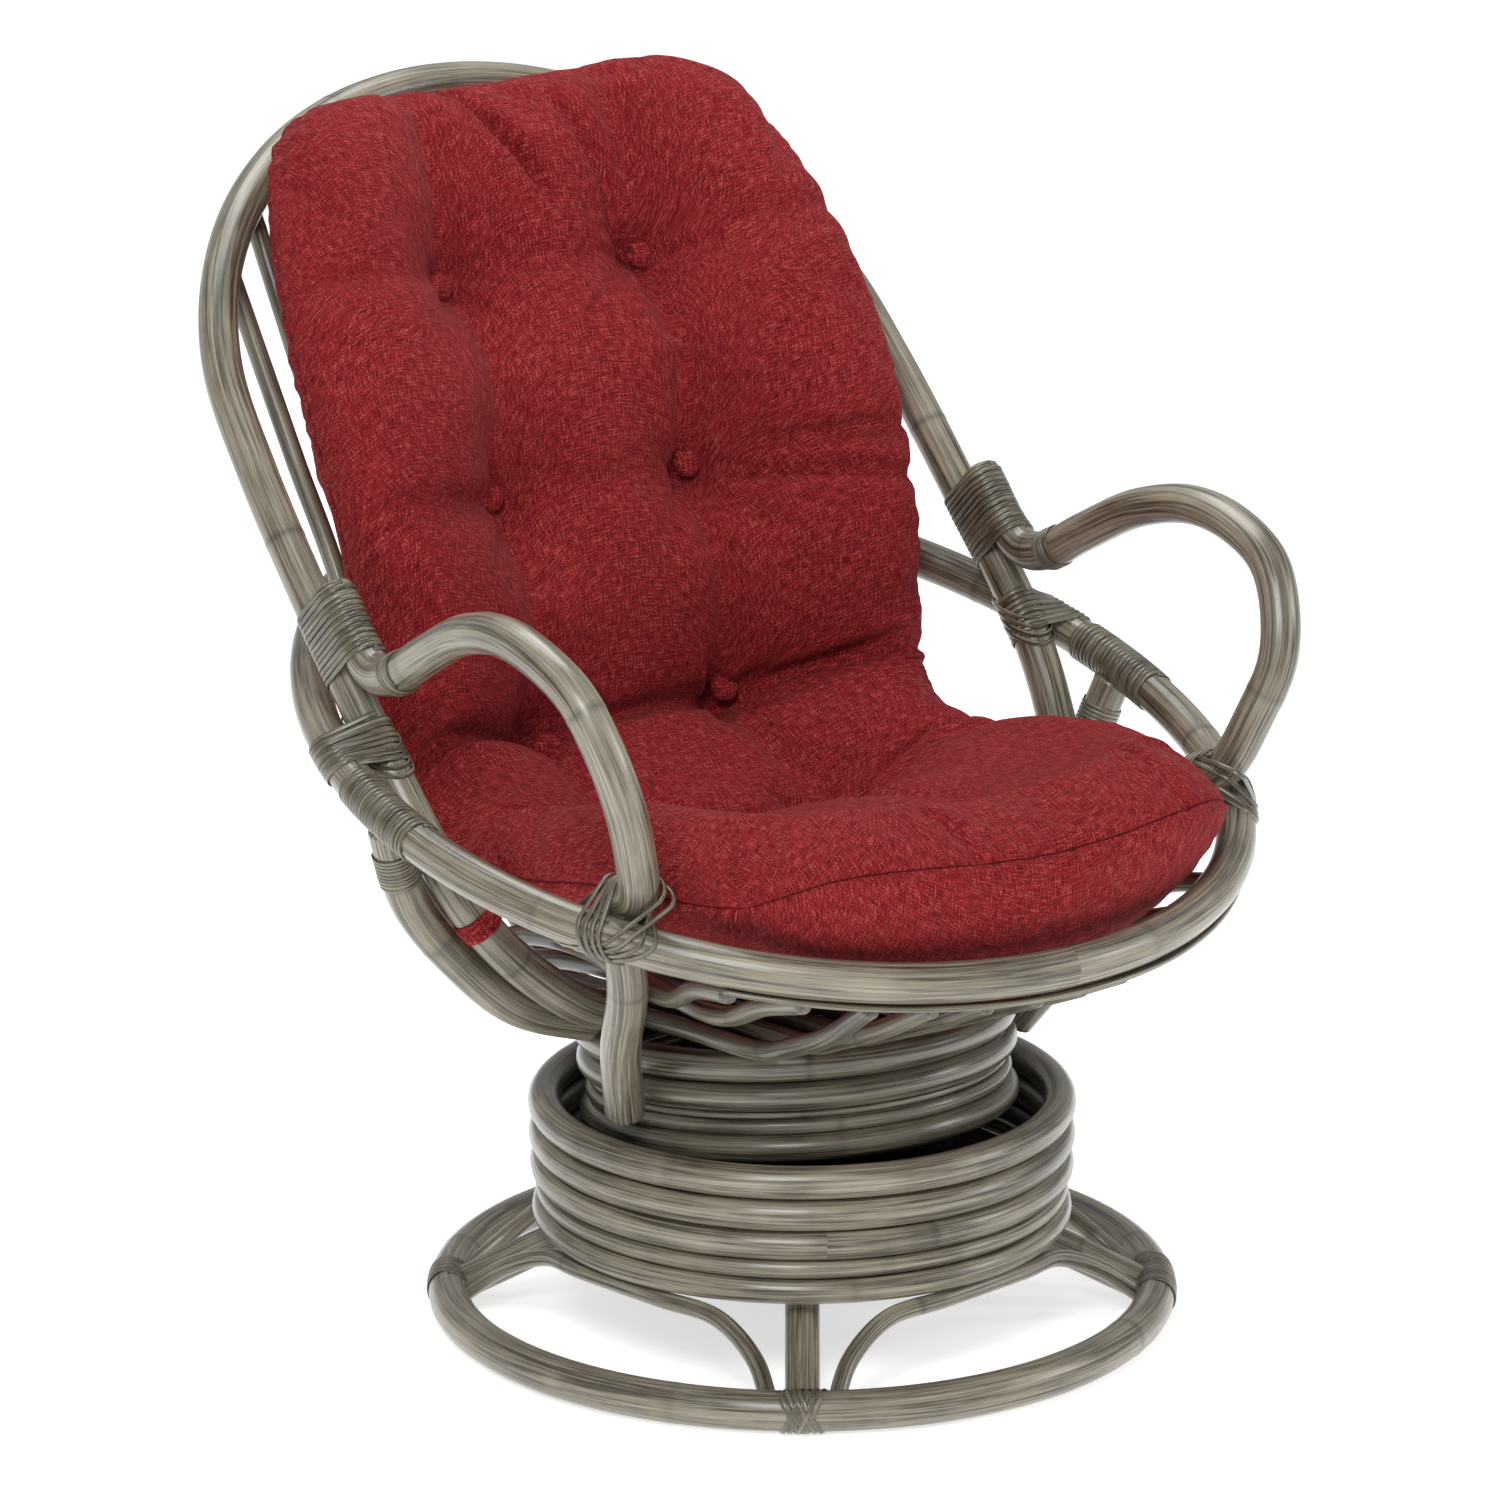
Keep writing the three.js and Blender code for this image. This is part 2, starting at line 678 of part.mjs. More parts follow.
// Arms: lashed to the back hoop's legs, forward and down round the sitter, then in under the seat
const armLapShares = [1, 0.79, 0.58];
const armSweepShares = [
  [0.949, 0.365, 0.881],
  [0.952, 0.246, 0.883],
  [0.96, 0.048, 0.934],
  [0.977, -0.23, 1],
  [0.994, -0.492, 1.021],
  [1, -0.706, 0.995],
  [0.992, -0.889, 0.934],
  [0.972, -0.972, 0.847],
  [0.941, -1, 0.749],
];
const armUnderShares = [
  [1.9, -0.555, 0.312],
  [0.41, -0.345, 0.16],
];
const hoopCrossingShare = 0.161;
const armInwardShares = [-0.79, 0.3, 0.54];
const armOverHoop = 80;
const armOverShares = [
  [-0.066, -0.56, 1],
  [-0.278, -0.273, 0.424],
];
const armBeside = armPoleRadius + backPoleRadius + touchGap;
const armFootReach = pedestalRadius + pedestalPoleRadii[4] + armPoleRadius + 2 * touchGap;
const armPlace = ([xShare, yShare, zShare]) => v3(
  xShare * armHalfWidth,
  yShare * armForwardReach,
  armFootHeight + zShare * (armTopHeight - armFootHeight),
);
const ribNarrowShare = 0.91;
const armUnder = ([outShare, yShare, zShare]) => v3(
  ribNarrowShare * ribReach + outShare * armPoleRadius,
  yShare * armForwardReach,
  armFootHeight + zShare * (armTopHeight - armFootHeight),
);
const armOver = (shares) => seatHoop.getPoint(hoopCrossingShare).addScaledVector(v3(...shares), armOverHoop);
const armInside = seatHoop.getPoint(hoopCrossingShare).addScaledVector(
  v3(...armInwardShares).normalize(),
  seatPoleRadius + armPoleRadius + 5 * touchGap,
);
const armLap = (share) =>
  backPlace(backLegHalfWidth, share * armLapReach).addScaledVector(backFront, armBeside);
const armCurve = smoothPath([
  ...armLapShares.map(armLap),
  ...armSweepShares.map(armPlace),
  ...armOverShares.map(armOver),
  armInside,
  ...armUnderShares.map(armUnder),
  v3(armFootReach * Math.cos(armFootTurn), -armFootReach * Math.sin(armFootTurn), armFootHeight),
]);

// Side bows
const bowShares = [
  [-0.02, 0, 0.012],
  [0.37, -0.04, 0.15],
  [0.62, 0, 0.36],
  [0.83, -0.03, 0.61],
  [0.954, -0.33, 0.88],
];
const bowTop = seatHoop.getPoint(0.255);
const bowFootX = pedestalRadius;
const bowPlace = ([xShare, yShare, zShare]) => v3(
  bowFootX + xShare * (bowTop.x - bowFootX),
  bowY * (1 + yShare),
  pedestalTop + zShare * (bowTop.z - pedestalTop),
);
const bowCurve = smoothPath([...bowShares.map(bowPlace), bowTop]);

// Ribs: under the hoop's front, over the pedestal, in front of the hoop's rear arc, behind the arch
const flatOf = (radius, sides) => radius * Math.cos(Math.PI / sides);
const ribBesideHoop = ribRadius + seatPoleRadius + 9 * touchGap;
const ribBehindArch = flatOf(ribRadius, ribSides) + flatOf(backPoleRadius, poleSides) + 5 * touchGap;
const ribRearShares = [0, -0.97, 0.24];
const ribRiseShares = [0, 0.2, 0.98];
const ribSeatHeight = pedestalTop + 6 * touchGap + ribRadius;
const ribSplayShares = [1, 0.96, ...Array(4).fill(ribNarrowShare), 0.94, 0.97];
const ribSeatShares = [
  [-0.8, 0.085, 0.15],
  [-0.6, 0.025, 0.155],
  [-0.5, 0, 0.18],
  [-0.16, 0, 0.24],
  [0.16, 0, 0.24],
  [0.5, 0, 0.19],
  [0.65, 0.07, 0.14],
  [0.8, 0.22, 0.08],
  [0.92, 0.47, 0.04],
  [0.975, 0.74, 0.01],
];
const ribBackShares = [0.42, 0.76];

function ribPath(x) {
  const pastPedestal = Math.max(0, Math.abs(x) / ribPitch + 0.5 - ribsOnPedestal);
  const shareOut = (pastPedestal / (ribHalfCount - ribsOnPedestal)) ** ribRisePower;
  const front = hoopAt(x, false).add(v3(0, ribInsideHoop, -ribUnderHoop));
  const rearTurn = (Math.PI - Math.asin(x / seatHoopHalfWidth)) / tau;
  const rearNormal = seatHoop.getTangent(rearTurn).cross(v3(...ribRiseShares)).normalize();
  const rearOffset = ribBesideHoop / Math.abs(rearNormal.dot(v3(...ribRearShares)));
  const rear = hoopAt(x, true).addScaledVector(v3(...ribRearShares), rearOffset);
  const archShare = Math.sqrt(1 - (x / backHalfWidth) ** 2);
  const top = backPlace(x, backArchCentre + backHalfWidth * archShare)
    .addScaledVector(backFront, -ribBehindArch);
  const points = [
    front,
    ...ribSeatShares.map(([yShare, zShare, outShare]) => v3(
      x,
      yShare * rear.y,
      ribSeatHeight + (zShare + outShare * shareOut) * (rear.z - ribSeatHeight),
    )),
    rear,
    ...ribBackShares.map((share) => rear.clone().lerp(top, share)),
    top,
  ];
  points.forEach((point, k) => point.setX(x * (ribSplayShares[k] ?? 1)));
  return smoothPath(points);
}

// The bows' tops are cut to the bound seat hoop, and their feet to the pedestal's top ring
const boundHoopRadius = cutRadius(boundRadius(seatPoleRadius) + touchGap);
const hoopCut = new THREE.TubeGeometry(seatHoop, 2 * seatHoopFacets, boundHoopRadius, cutSides, true);
const bowBlank = pole(bowCurve, bowPoleRadius, bowFacets);
const bowShape = largestBody(cutFrom(bowBlank, outwardFacing(hoopCut), topRingCut));
const armShape = pole(armCurve, armPoleRadius, armFacets);
place(seatLevel, 'side_bow_right', bowShape, washedRattan);
place(seatLevel, 'side_bow_left', mirrored(bowShape), washedRattan);
place(seatLevel, 'arm_right', armShape, washedRattan);
place(seatLevel, 'arm_left', mirrored(armShape), washedRattan);
for (let k = 0; k < ribHalfCount; k += 1) {
  const shape = pole(ribPath(ribPitch * (k + 0.5)), ribRadius, 18, ribSides);
  place(seatLevel, `rib_right_${k + 1}`, shape, washedRattan);
  place(seatLevel, `rib_left_${k + 1}`, mirrored(shape), washedRattan);
}

// Batten under the hoop's front
class BattenPath extends THREE.Curve {
  getPoint(t, target = v3()) {
    const under = seatPoleRadius + battenThickness / 2 + 4 * touchGap;
    return target.copy(hoopAt(battenHalfWidth * (2 * t - 1), false)).add(v3(0, -battenWidth / 4, -under));
  }
}
const battenSection = new THREE.Shape([
  [-1, -1], [1, -1], [1, 1], [-1, 1],
].map(([a, b]) => new THREE.Vector2((a * battenThickness) / 2, (b * battenWidth) / 2)));
const battenShape = new THREE.ExtrudeGeometry(battenSection, { steps: 12, extrudePath: new BattenPath() });
place(seatLevel, 'rib_batten', battenShape, washedRattan);

// Cushion: two sheets over a bent middle line, sewn together round a full soft edge, with sewn tufts on top
const cushionFoot = ribSeatHeight + flatOf(ribRadius, ribSides) + cushionUnder + touchGap;
const hoopFront = hoopAt(0, false);
const hoopRear = hoopAt(0, true);
const ribRise = hoopRear.z - ribSeatHeight;
const archTop = backPlace(0, backArchCentre + backHalfWidth);
const cushionFrontShares = [
  [0.975, 1],
  [0.778, 0.442],
  [0.518, 0.212],
  [0.256, 0.117],
  [-0.004, 0],
];
const cushionRearShares = [
  [0.234, 0.008],
  [0.438, 0.075],
  [0.603, 0.222],
];
const cushionBackShares = [
  [-0.4, 1.52],
  [0.067, 1.69],
  [0.633, 1.13],
  [0.928, 0.71],
];
const cushionSideShare = 0.254;
const cushionSideRise = cushionSideShare * ribRise;
const cushionWidthShares = [0.9, 0.92, 0.925, 0.925, 0.93, 0.94, 0.96, 0.98, 1, 1, 0.97, 0.9, 0.84];
const sideRiseShares = [0.5, 0.65, 0.78, 0.8, 0.82, 0.82, 0.84, 0.98, 1.04, 0.74, 0.5, 0.22, 0];
const tuftRowShares = [0.366, 0.552, 0.715, 0.862];
const cushionCurve = smoothPath([
  ...cushionFrontShares.map(([out, rise]) =>
    v3(0, out * hoopFront.y, cushionFoot + rise * (hoopFront.z + cushionOverHoop - cushionFoot))),
  ...cushionRearShares.map(([out, rise]) =>
    v3(0, out * hoopRear.y, cushionFoot + rise * ribRise)),
  ...cushionBackShares.map(([rise, inFront]) =>
    hoopRear.clone().lerp(archTop, rise).add(v3(0, -inFront * cushionUnder, 0))),
]);
const cushionLength = cushionCurve.getLength();
const cornerPower = 5;
const sideRisePower = 1.7;
const edgeRowReaches = [4, 18, 42];
const cellsAcross = 10;
const cellsAlong = 20;

function shareAt(shares, t) {
  const place = t * (shares.length - 1);
  const low = Math.min(Math.floor(place), shares.length - 2);
  return shares[low] + (shares[low + 1] - shares[low]) * (place - low);
}

// Rows from one edge to the other as -1 to 1, close together at the edges and even between them
function cushionRows(halfLength, cells) {
  const edge = [0, ...edgeRowReaches].map((reach) => reach / halfLength - 1);
  const inner = -edge[edge.length - 1];
  const even = Array.from({ length: cells - 1 }, (_, k) => inner * ((2 * (k + 1)) / cells - 1));
  return [...edge, ...even, ...edge.map((row) => -row).reverse()];
}

// Soft edge: how much of the full thickness is reached at a depth in from the edge
const edgeShare = (depth, rounding) => Math.sqrt(1 - (1 - Math.min(depth / rounding, 1)) ** 2);

function cushionSpot(u, w, upper) {
  const reach = Math.max(Math.abs(u), Math.abs(w));
  const powers = Math.abs(u) ** cornerPower + Math.abs(w) ** cornerPower;
  const corner = reach && reach / powers ** (1 / cornerPower);
  const t = 0.5 + 0.5 * w * corner;
  const x = u * corner * cushionHalfWidth * shareAt(cushionWidthShares, t);
  const tangent = cushionCurve.getTangentAt(t);
  const normal = v3(0, -tangent.z, tangent.y);
  const dents = tuftRowShares.map((row) => {
    const [along, aside] = [(t - row) * cushionLength, Math.abs(x) - tuftHalfSpan];
    return Math.exp(-(along * along + aside * aside) / (tuftSpread * tuftSpread));
  });
  const [besideEdge, endEdge] = upper
    ? [cushionEdgeRounding, cushionEdgeRounding]
    : [cushionHalfWidth, cushionUnderRounding];
  const full = edgeShare(cushionHalfWidth * (1 - Math.abs(u)), besideEdge)
    * edgeShare((cushionLength / 2) * (1 - Math.abs(w)), endEdge);
  const half = upper ? cushionCrown - tuftDepth * Math.max(...dents) : -cushionUnder;
  const rise = cushionSideRise * shareAt(sideRiseShares, t) * Math.abs(u * corner) ** sideRisePower;
  return cushionCurve.getPointAt(t).addScaledVector(normal, full * half + rise).setX(x);
}

function cushionGeometry() {
  const [us, ws] = [cushionRows(cushionHalfWidth, cellsAcross), cushionRows(cushionLength / 2, cellsAlong)];
  const spots = [true, false].flatMap((upper) => ws.flatMap((w) => us.map((u) => cushionSpot(u, w, upper))));
  const sheet = us.length * ws.length;
  const index = [];
  for (let j = 0; j + 1 < ws.length; j += 1) {
    for (let i = 0; i + 1 < us.length; i += 1) {
      const [a, b] = [j * us.length + i, j * us.length + i + 1];
      const [c, d] = [a + us.length, b + us.length];
      index.push(a, b, c, b, d, c);
      index.push(...[a, c, b, b, c, d].map((corner) => corner + sheet));
    }
  }
  const pad = new THREE.BufferGeometry();
  pad.setAttribute('position', new THREE.Float32BufferAttribute(spots.flatMap((p) => p.toArray()), 3));
  pad.setIndex(index);
  return outwardFacing(pad);
}
place(seatLevel, 'cushion', cushionGeometry(), redCloth);

// Bindings of the crossings: each round they hold is found where it meets the plane of the wrap
function crossingOf(curve, origin, along, shares) {
  let [low, high] = shares;
  const side = (t) => curve.getPoint(t).sub(origin).dot(along);
  const rising = side(high) > side(low);
  for (let step = 0; step < 40; step += 1) {
    const middle = (low + high) / 2;
    if (side(middle) > 0 === rising) high = middle;
    else low = middle;
  }
  return { centre: curve.getPoint(low), tangent: curve.getTangent(low) };
}

const wrapSide = (along, toward) => toward.clone().addScaledVector(along, -toward.dot(along)).normalize();
const hoopWrapTop = armLapReach - hoopBindingPitch;
const hoopWrapLength = hoopBindingLoops * hoopBindingPitch;
const armLeavesShare = 0.5;
const hoopJoinsShare = 0.62;
const heldMarginShare = 0.1;
const backLegShares = [0.5, 0.9];
const armLapCurveShares = [0, 0.3];
const hoopSideShares = [0.2, 0.4];
const backLine = new FacetedLine(backCurve, backFacets);
const armLine = new FacetedLine(armCurve, armFacets);
const hoopLine = new FacetedLine(seatHoop, seatHoopFacets);
const bowLine = new FacetedLine(bowCurve, bowFacets);

// The wrap starts round the leg and the arm's end, lets the arm go, and takes in the seat hoop lower down
function hoopBindingCore(share) {
  const origin = backPlace(backLegHalfWidth, hoopWrapTop - share * hoopWrapLength);
  const poles = [{ ...crossingOf(backLine, origin, backUp, backLegShares), radius: backPoleRadius }];
  if (share < armLeavesShare + heldMarginShare) {
    const arm = crossingOf(armLine, origin, backUp, armLapCurveShares);
    poles.push({ ...arm, radius: armPoleRadius, to: armLeavesShare });
  }
  if (share > hoopJoinsShare - heldMarginShare) {
    const hoop = crossingOf(hoopLine, origin, backUp, hoopSideShares);
    poles.push({ ...hoop, radius: seatPoleRadius, from: hoopJoinsShare });
  }
  return { poles, along: backUp.clone().negate(), side: wrapSide(backUp, backFront) };
}
const hoopWrap = winding('hoop_binding', {
  loops: hoopBindingLoops,
  pitch: hoopBindingPitch,
  core: hoopBindingCore,
  slack: 3 * touchGap,
});
place(seatLevel, 'hoop_binding_right', hoopWrap, peelStrip);
place(seatLevel, 'hoop_binding_left', mirrored(hoopWrap), peelStrip);

// A winding along one pole
function alongPole(name, line, radius, { start, loops, pitch, across }) {
  const span = (loops * pitch) / line.curve.getLength();
  return winding(name, {
    loops,
    pitch,
    core: (share) => {
      const tangent = line.getTangent(start + share * span);
      const pole = { centre: line.getPoint(start + share * span), tangent, radius };
      return { poles: [pole], along: tangent, side: wrapSide(tangent, across) };
    },
  });
}
const rimStartShare = 0.234;
const rimWrap = alongPole('rim_binding', hoopLine, seatPoleRadius, {
  start: rimStartShare,
  loops: rimBindingLoops,
  pitch: rimBindingPitch,
  across: v3(1, 0, 0),
});
place(seatLevel, 'rim_binding_right', rimWrap, peelStrip);
place(seatLevel, 'rim_binding_left', mirrored(rimWrap), peelStrip);

const bowBindingStartShare = 0.85;
const bowWrap = alongPole('bow_binding', bowLine, bowPoleRadius, {
  start: bowBindingStartShare,
  loops: bowBindingLoops,
  pitch: bowBindingPitch,
  across: v3(0, 1, 0.41),
});
place(seatLevel, 'bow_binding_right', bowWrap, peelStrip);
place(seatLevel, 'bow_binding_left', mirrored(bowWrap), peelStrip);

// Lashing of arm and seat hoop where they cross, drawn slantwise over both
function nearestShares(curveA, curveB, startA, startB) {
  let best = { a: startA, b: startB, gap: Infinity };
  const reachShare = 0.08;
  const tries = 40;
  for (let i = -tries; i <= tries; i += 1) {
    for (let j = -tries; j <= tries; j += 1) {
      const [a, b] = [startA + (reachShare * i) / tries, startB + (reachShare * j) / tries];
      const gap = curveA.getPoint(a).distanceTo(curveB.getPoint(b));
      if (gap < best.gap) best = { a, b, gap };
    }
  }
  return best;
}
const armCrossShare = 0.7;
const crossing = nearestShares(armLine, hoopLine, armCrossShare, hoopCrossingShare);
const [armThere, hoopThere] = [armLine.getPoint(crossing.a), hoopLine.getPoint(crossing.b)];
const slantAcross = armLine.getTangent(crossing.a).sub(hoopLine.getTangent(crossing.b)).normalize();
const betweenPoles = armThere.clone().lerp(hoopThere, 0.5);
const apart = armThere.clone().sub(hoopThere);
const lashingReachShare = 0.06;
const around = (share) => [share - lashingReachShare, share + lashingReachShare];
const lashing = winding('arm_lashing', {
  loops: armLashingLoops,
  pitch: armLashingPitch,
  slack: 4 * touchGap,
  core: (share) => {
    const along = (share - 0.5) * armLashingLoops * armLashingPitch;
    const origin = betweenPoles.clone().addScaledVector(slantAcross, along);
    return {
      poles: [
        { ...crossingOf(armLine, origin, slantAcross, around(crossing.a)), radius: armPoleRadius },
        { ...crossingOf(hoopLine, origin, slantAcross, around(crossing.b)), radius: seatPoleRadius },
      ],
      along: slantAcross,
      side: wrapSide(slantAcross, apart),
    };
  },
});
place(seatLevel, 'arm_lashing_right', lashing, peelStrip);
place(seatLevel, 'arm_lashing_left', mirrored(lashing), peelStrip);

// The box is centred over the origin, and the axes are told with the windings' gaps
const box = new THREE.Box3().setFromObject(chair, true);
chair.position.y = -(box.min.y + box.max.y) / 2;
for (const line of windingReport) console.log(line);
console.log(`swivel axis at y ${chair.position.y.toFixed(2)}, rocking shaft at z ${pivotHeight}`);
export default root;
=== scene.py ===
import random
from math import asin, atan2, cos, exp, hypot, pi, radians, sin, sqrt, tau
from types import SimpleNamespace

import bmesh
import bpy
from mathutils import Matrix, Vector
from mathutils.kdtree import KDTree


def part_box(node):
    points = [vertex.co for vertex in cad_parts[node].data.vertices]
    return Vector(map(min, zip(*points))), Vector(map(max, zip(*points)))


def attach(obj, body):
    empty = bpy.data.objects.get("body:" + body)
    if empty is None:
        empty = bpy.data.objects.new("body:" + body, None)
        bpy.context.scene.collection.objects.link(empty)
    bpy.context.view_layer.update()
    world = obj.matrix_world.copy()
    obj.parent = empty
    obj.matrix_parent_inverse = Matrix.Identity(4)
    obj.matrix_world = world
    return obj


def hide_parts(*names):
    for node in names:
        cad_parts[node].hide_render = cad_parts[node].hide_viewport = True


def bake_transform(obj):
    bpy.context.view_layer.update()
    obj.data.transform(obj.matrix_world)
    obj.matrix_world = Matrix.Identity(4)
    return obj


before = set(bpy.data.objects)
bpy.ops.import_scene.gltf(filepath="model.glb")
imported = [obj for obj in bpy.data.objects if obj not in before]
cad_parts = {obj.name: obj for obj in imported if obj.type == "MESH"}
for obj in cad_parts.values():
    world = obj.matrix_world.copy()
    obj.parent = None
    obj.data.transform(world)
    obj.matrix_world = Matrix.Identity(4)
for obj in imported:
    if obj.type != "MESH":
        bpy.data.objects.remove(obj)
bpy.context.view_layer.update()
print("frame loaded", len(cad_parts), "nodes")

# Where the chair stands: swivel axis, rocking shaft, lean at rest, base's turn, gap between held poles
chair = {
    "axisY": -0.10121,
    "shaftZ": 0.15,
    "lean": radians(5.5),
    "baseTurn": radians(-36),
    "touchGap": 0.0003,
}
leanBack = Matrix.Rotation(-chair["lean"], 4, "X")
shaft = Vector((0, 0, chair["shaftZ"]))
onAxis = Matrix.Translation((0, chair["axisY"], 0))
seatPlace = onAxis @ Matrix.Translation(shaft) @ leanBack @ Matrix.Translation(-shaft)
basePlace = onAxis @ Matrix.Rotation(chair["baseTurn"], 4, "Z")
seatTurn = seatPlace.to_3x3()
up = Vector((0, 0, 1))
touch = chair["touchGap"]


# Routes: points every few millimetres along a smooth line through the given ones
def smoothRoute(points, spacing=0.005, steps=24):
    given = [Vector(p) for p in points]
    given = [2 * given[0] - given[1]] + given + [2 * given[-1] - given[-2]]
    fine = []
    for k in range(1, len(given) - 2):
        a, b, c, d = given[k - 1:k + 3]
        ab, bc, cd = [max((q - p).length ** 0.5, 1e-4) for p, q in ((a, b), (b, c), (c, d))]
        start = ((b - a) / ab - (c - a) / (ab + bc) + (c - b) / bc) * bc
        stop = ((c - b) / bc - (d - b) / (bc + cd) + (d - c) / cd) * bc
        for i in range(steps):
            t = i / steps
            fine.append(
                b * (2 * t**3 - 3 * t**2 + 1) + start * (t**3 - 2 * t**2 + t)
                + c * (3 * t**2 - 2 * t**3) + stop * (t**3 - t**2)
            )
    fine.append(given[-2])
    return evenRoute(fine, spacing)


def reaches(route):
    reach = [0.0]
    for p, q in zip(route, route[1:]):
        reach.append(reach[-1] + (q - p).length)
    return reach


def evenRoute(fine, spacing=0.005):
    reach = reaches(fine)
    count = max(2, round(reach[-1] / spacing))
    even = []
    k = 0
    for i in range(count + 1):
        s = reach[-1] * i / count
        while k < len(fine) - 2 and reach[k + 1] < s:
            k += 1
        part = (s - reach[k]) / max(reach[k + 1] - reach[k], 1e-9)
        even.append(fine[k].lerp(fine[k + 1], part))
    return even


def placed(route, place):
    return [place @ p for p in route]


def flipped(route):
    return [Vector((-p.x, p.y, p.z)) for p in route]


def tangents(route, closed=False):
    last = len(route) - 1
    if closed:
        steps = [route[(k + 1) % last] - route[(k - 1) % last] for k in range(last + 1)]
    else:
        steps = [route[min(k + 1, last)] - route[max(k - 1, 0)] for k in range(last + 1)]
    return [step.normalized() for step in steps]


def ringRoute(radius, height, spacing=0.006):
    count = round(tau * radius / spacing)
    turns = [tau * k / count for k in range(count + 1)]
    return [Vector((radius * cos(t), radius * sin(t), height)) for t in turns]


def clamped(value):
    return min(max(value, 0), 1)


def treeOf(points):
    tree = KDTree(len(points))
    for k, point in enumerate(points):
        tree.insert(point, k)
    tree.balance()
    return tree


def ahead(route, k):
    return (route[k + 1] - route[k - 1]).normalized()


def ringFrame(*values, knuckle=0.0):
    return dict(zip(("at", "out", "side", "reach", "width", "run"), values), knuckle=knuckle)


# Sweeps a section along frames, each ring extruded from the last one
def sweep(bm, section, frames, closed=False, around=1.0):
    spot = bm.verts.layers.int.get("spot") or bm.verts.layers.int.new("spot")
    run = bm.verts.layers.float.get("along") or bm.verts.layers.float.new("along")
    knuckle = bm.verts.layers.float.get("knuckle") or bm.verts.layers.float.new("knuckle")
    uv = bm.loops.layers.uv.get("run") or bm.loops.layers.uv.new("run")
    count = len(section)

    def lay(verts, ring):
        for v in verts:
            out, side = section[v[spot]]
            v.co = ring["at"] + ring["out"] * (out * ring["reach"]) + ring["side"] * (side * ring["width"])
            v[run] = ring["run"]
            v[knuckle] = ring["knuckle"]

    made = bmesh.ops.create_circle(bm, cap_ends=False, segments=count, radius=1)["verts"]
    for k, v in enumerate(sorted(made, key=lambda v: atan2(v.co.y, v.co.x))):
        v[spot] = k
    lay(made, frames[0])
    startVerts = list(made)
    startEdges = list(dict.fromkeys(e for v in made for e in v.link_edges))
    edges = startEdges
    verts = startVerts
    faces = []
    for ring in frames[1:]:
        grown = bmesh.ops.extrude_edge_only(bm, edges=edges)["geom"]
        verts = [g for g in grown if isinstance(g, bmesh.types.BMVert)]
        fresh = set(verts)
        edges = [g for g in grown if isinstance(g, bmesh.types.BMEdge) and fresh.issuperset(g.verts)]
        faces += [g for g in grown if isinstance(g, bmesh.types.BMFace)]
        lay(verts, ring)
    if not closed:
        faces += bmesh.ops.contextual_create(bm, geom=startEdges)["faces"]
        faces += bmesh.ops.contextual_create(bm, geom=edges)["faces"]
    for face in faces:
        us = [loop.vert[spot] / count for loop in face.loops]
        if max(us) - min(us) > 0.5:
            us = [u + 1 if u < 0.5 else u for u in us]
        for loop, u in zip(face.loops, us):
            loop[uv].uv = (u * around, loop.vert[run])
    if closed:
        bmesh.ops.remove_doubles(bm, verts=startVerts + verts, dist=0.00002)


def roundSection(sides):
    return [(cos(tau * k / sides), sin(tau * k / sides)) for k in range(sides)]


def finished(name, bm, material, body, slot, *nodes):
    bmesh.ops.recalc_face_normals(bm, faces=bm.faces)
    mesh = bpy.data.meshes.new(name)
    bm.to_mesh(mesh)
    bm.free()
    for polygon in mesh.polygons:
        polygon.use_smooth = True
    mesh.materials.append(material)
    piece = bpy.data.objects.new(name, mesh)
    bpy.context.scene.collection.objects.link(piece)
    if body:
        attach(piece, body)
    if nodes:
        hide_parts(*nodes)
    return piece


# The piece that takes a node's place has the node's name in one word
def replacing(node, bm, material, body, slot):
    first, *rest = node.split("_")
    return finished(first + "".join(word.capitalize() for word in rest), bm, material, body, slot, node)


